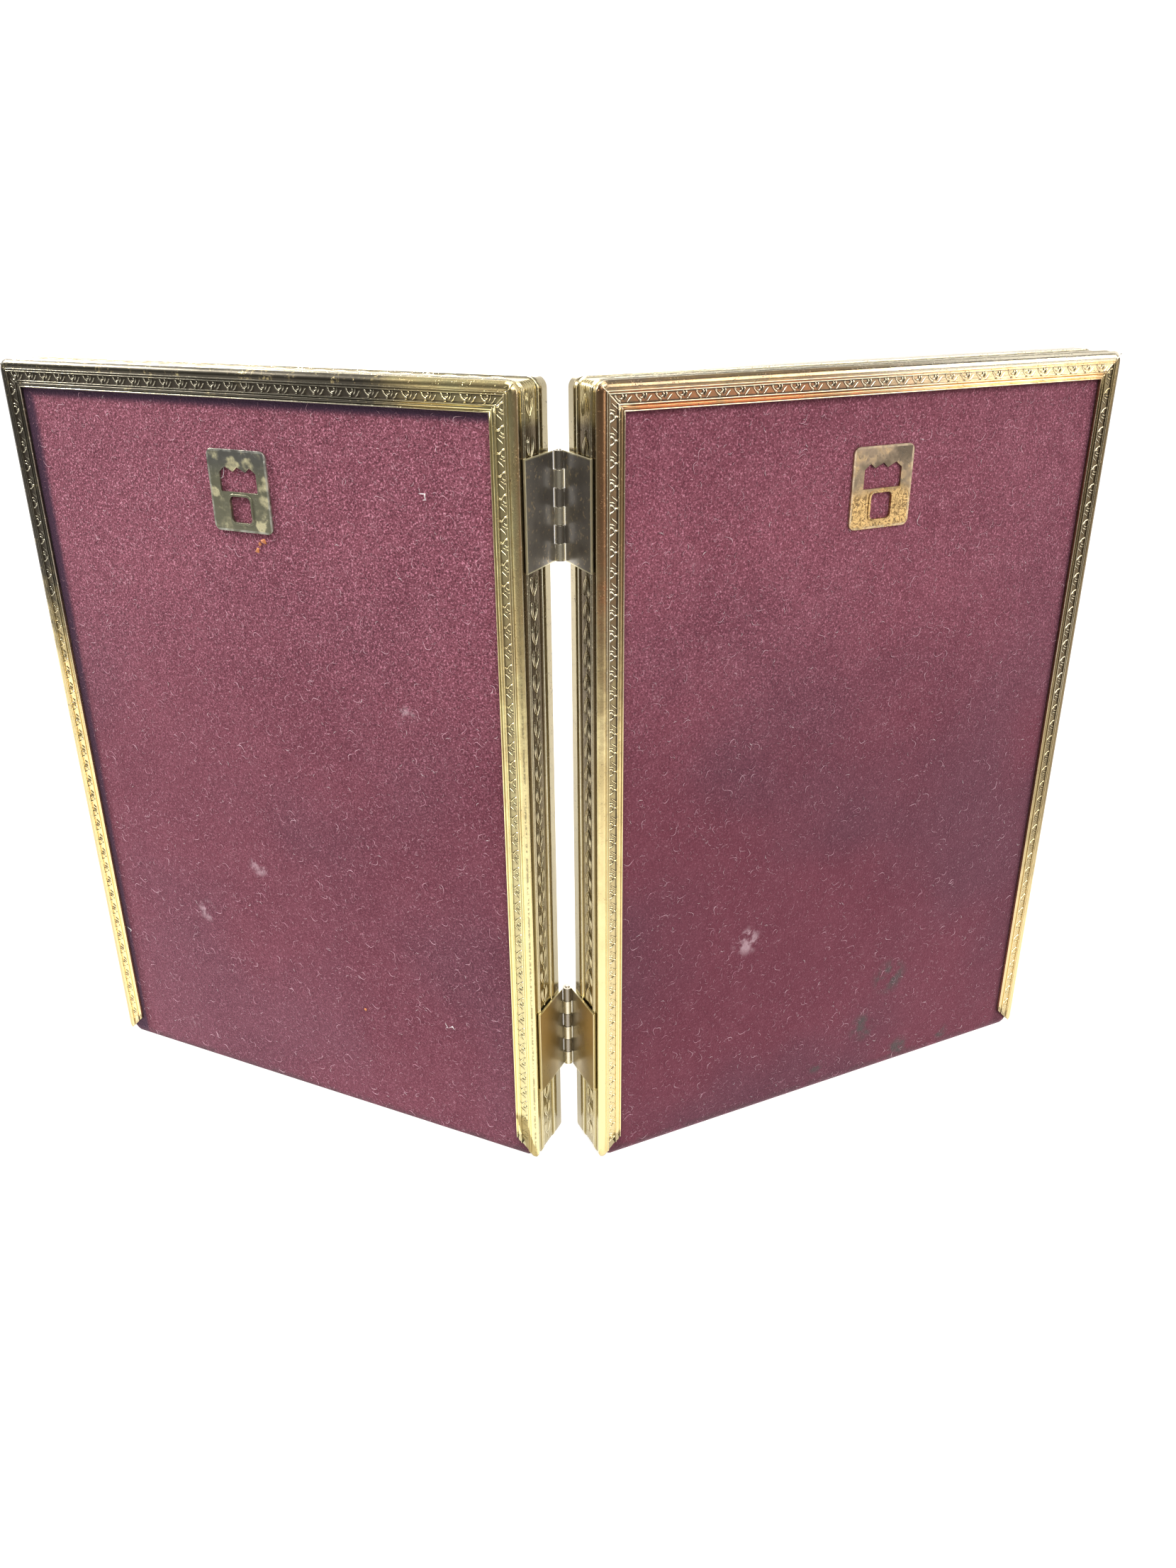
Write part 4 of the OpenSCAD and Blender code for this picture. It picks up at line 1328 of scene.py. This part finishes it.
def softened(node, name, side, body, material, width):
    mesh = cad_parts[node].data.copy()
    merge(mesh, 1e-6, join_flat_faces)
    mesh.name = name
    carry(mesh, "leaf", lie_down(points_of(mesh), side) * (side, 1, 1))
    mesh.materials.clear()
    mesh.materials.append(material)
    mesh.shade_smooth()
    made = add_object(name, mesh)
    bevel = made.modifiers.new("soft_edges", "BEVEL")
    bevel.width = width
    bevel.segments = 2
    bevel.limit_method = "ANGLE"
    bevel.angle_limit = math.radians(40)
    made.modifiers.new("even_shading", "WEIGHTED_NORMAL")
    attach(made, body)
    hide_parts(node)
    print(name, "has", len(mesh.polygons), "faces before its bevel")


for word, side in SIDES.items():
    softened(word + "_hanger_plate", word + "_hanger", side, word + "_back",
             hanger_finish, 0.00007)
    for level in ("upper", "lower"):
        softened(f"{level}_hinge_{word}_plate", f"{level}_hinge_{word}_leaf", side, word + "_leaf",
                 hinge_finish, 0.00006)
for level in ("upper", "lower"):
    softened(level + "_hinge_pin", level + "_pin", 1, "left_leaf", pin_finish, 0.00005)

# %% [markdown]
# ## What the frame holds
# From the front the frame shows its glass and, until somebody puts a photo in, a blank card. The
# filler board and the back board only show at their edges. These solids stay as they are and get
# finishes of their own.

# %% Glass, card and boards
def glass():
    f = Finish("picture_glass")
    smear = f.noise(40.0, 3.0, 0.6)
    return f.surface(Base_Color=(0.93, 0.97, 0.96), Roughness=smear.step(0.4, 0.8) * 0.03,
                     Transmission_Weight=1.0, IOR=1.45)


def card(name, pale, deep, scale, rough, flutes=0.0):
    f = Finish(name)
    fibre = f.noise(scale, 4.0, 0.7)
    cloud = f.noise(60.0, 2.0, 0.5)
    ribs = f.noise(1.0, 1.0, 0.4, f.stretched((0.30, 0.006, 0.05))) * flutes
    tone = fibre * 0.7 + cloud * 0.5 + ribs * 0.9 - 0.1 - flutes * 0.45
    colour = f.mix(deep, pale, tone.step(0.25, 0.75))
    return f.surface(Base_Color=colour, Roughness=rough + fibre * 0.08,
                     Normal=f.bump(fibre + ribs * 3.0, 0.0001, 0.5))


card_finish = card("blank_card", (0.86, 0.84, 0.79), (0.76, 0.73, 0.67), 1300.0, 0.7)
filler_finish = card("filler_greyboard", (0.44, 0.37, 0.27), (0.30, 0.24, 0.17), 900.0, 0.85, flutes=0.8)
board_finish = card("fibre_back_board", (0.14, 0.13, 0.105), (0.055, 0.055, 0.05), 1100.0, 0.85)
glass_finish = glass()
for word in SIDES:
    for part, finish in (("_glass", glass_finish), ("_photo_insert", card_finish),
                         ("_filler_board", filler_finish), ("_back_board", board_finish)):
        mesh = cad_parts[word + part].data
        mesh.materials.clear()
        mesh.materials.append(finish)
print("finishes made:", len(bpy.data.materials))
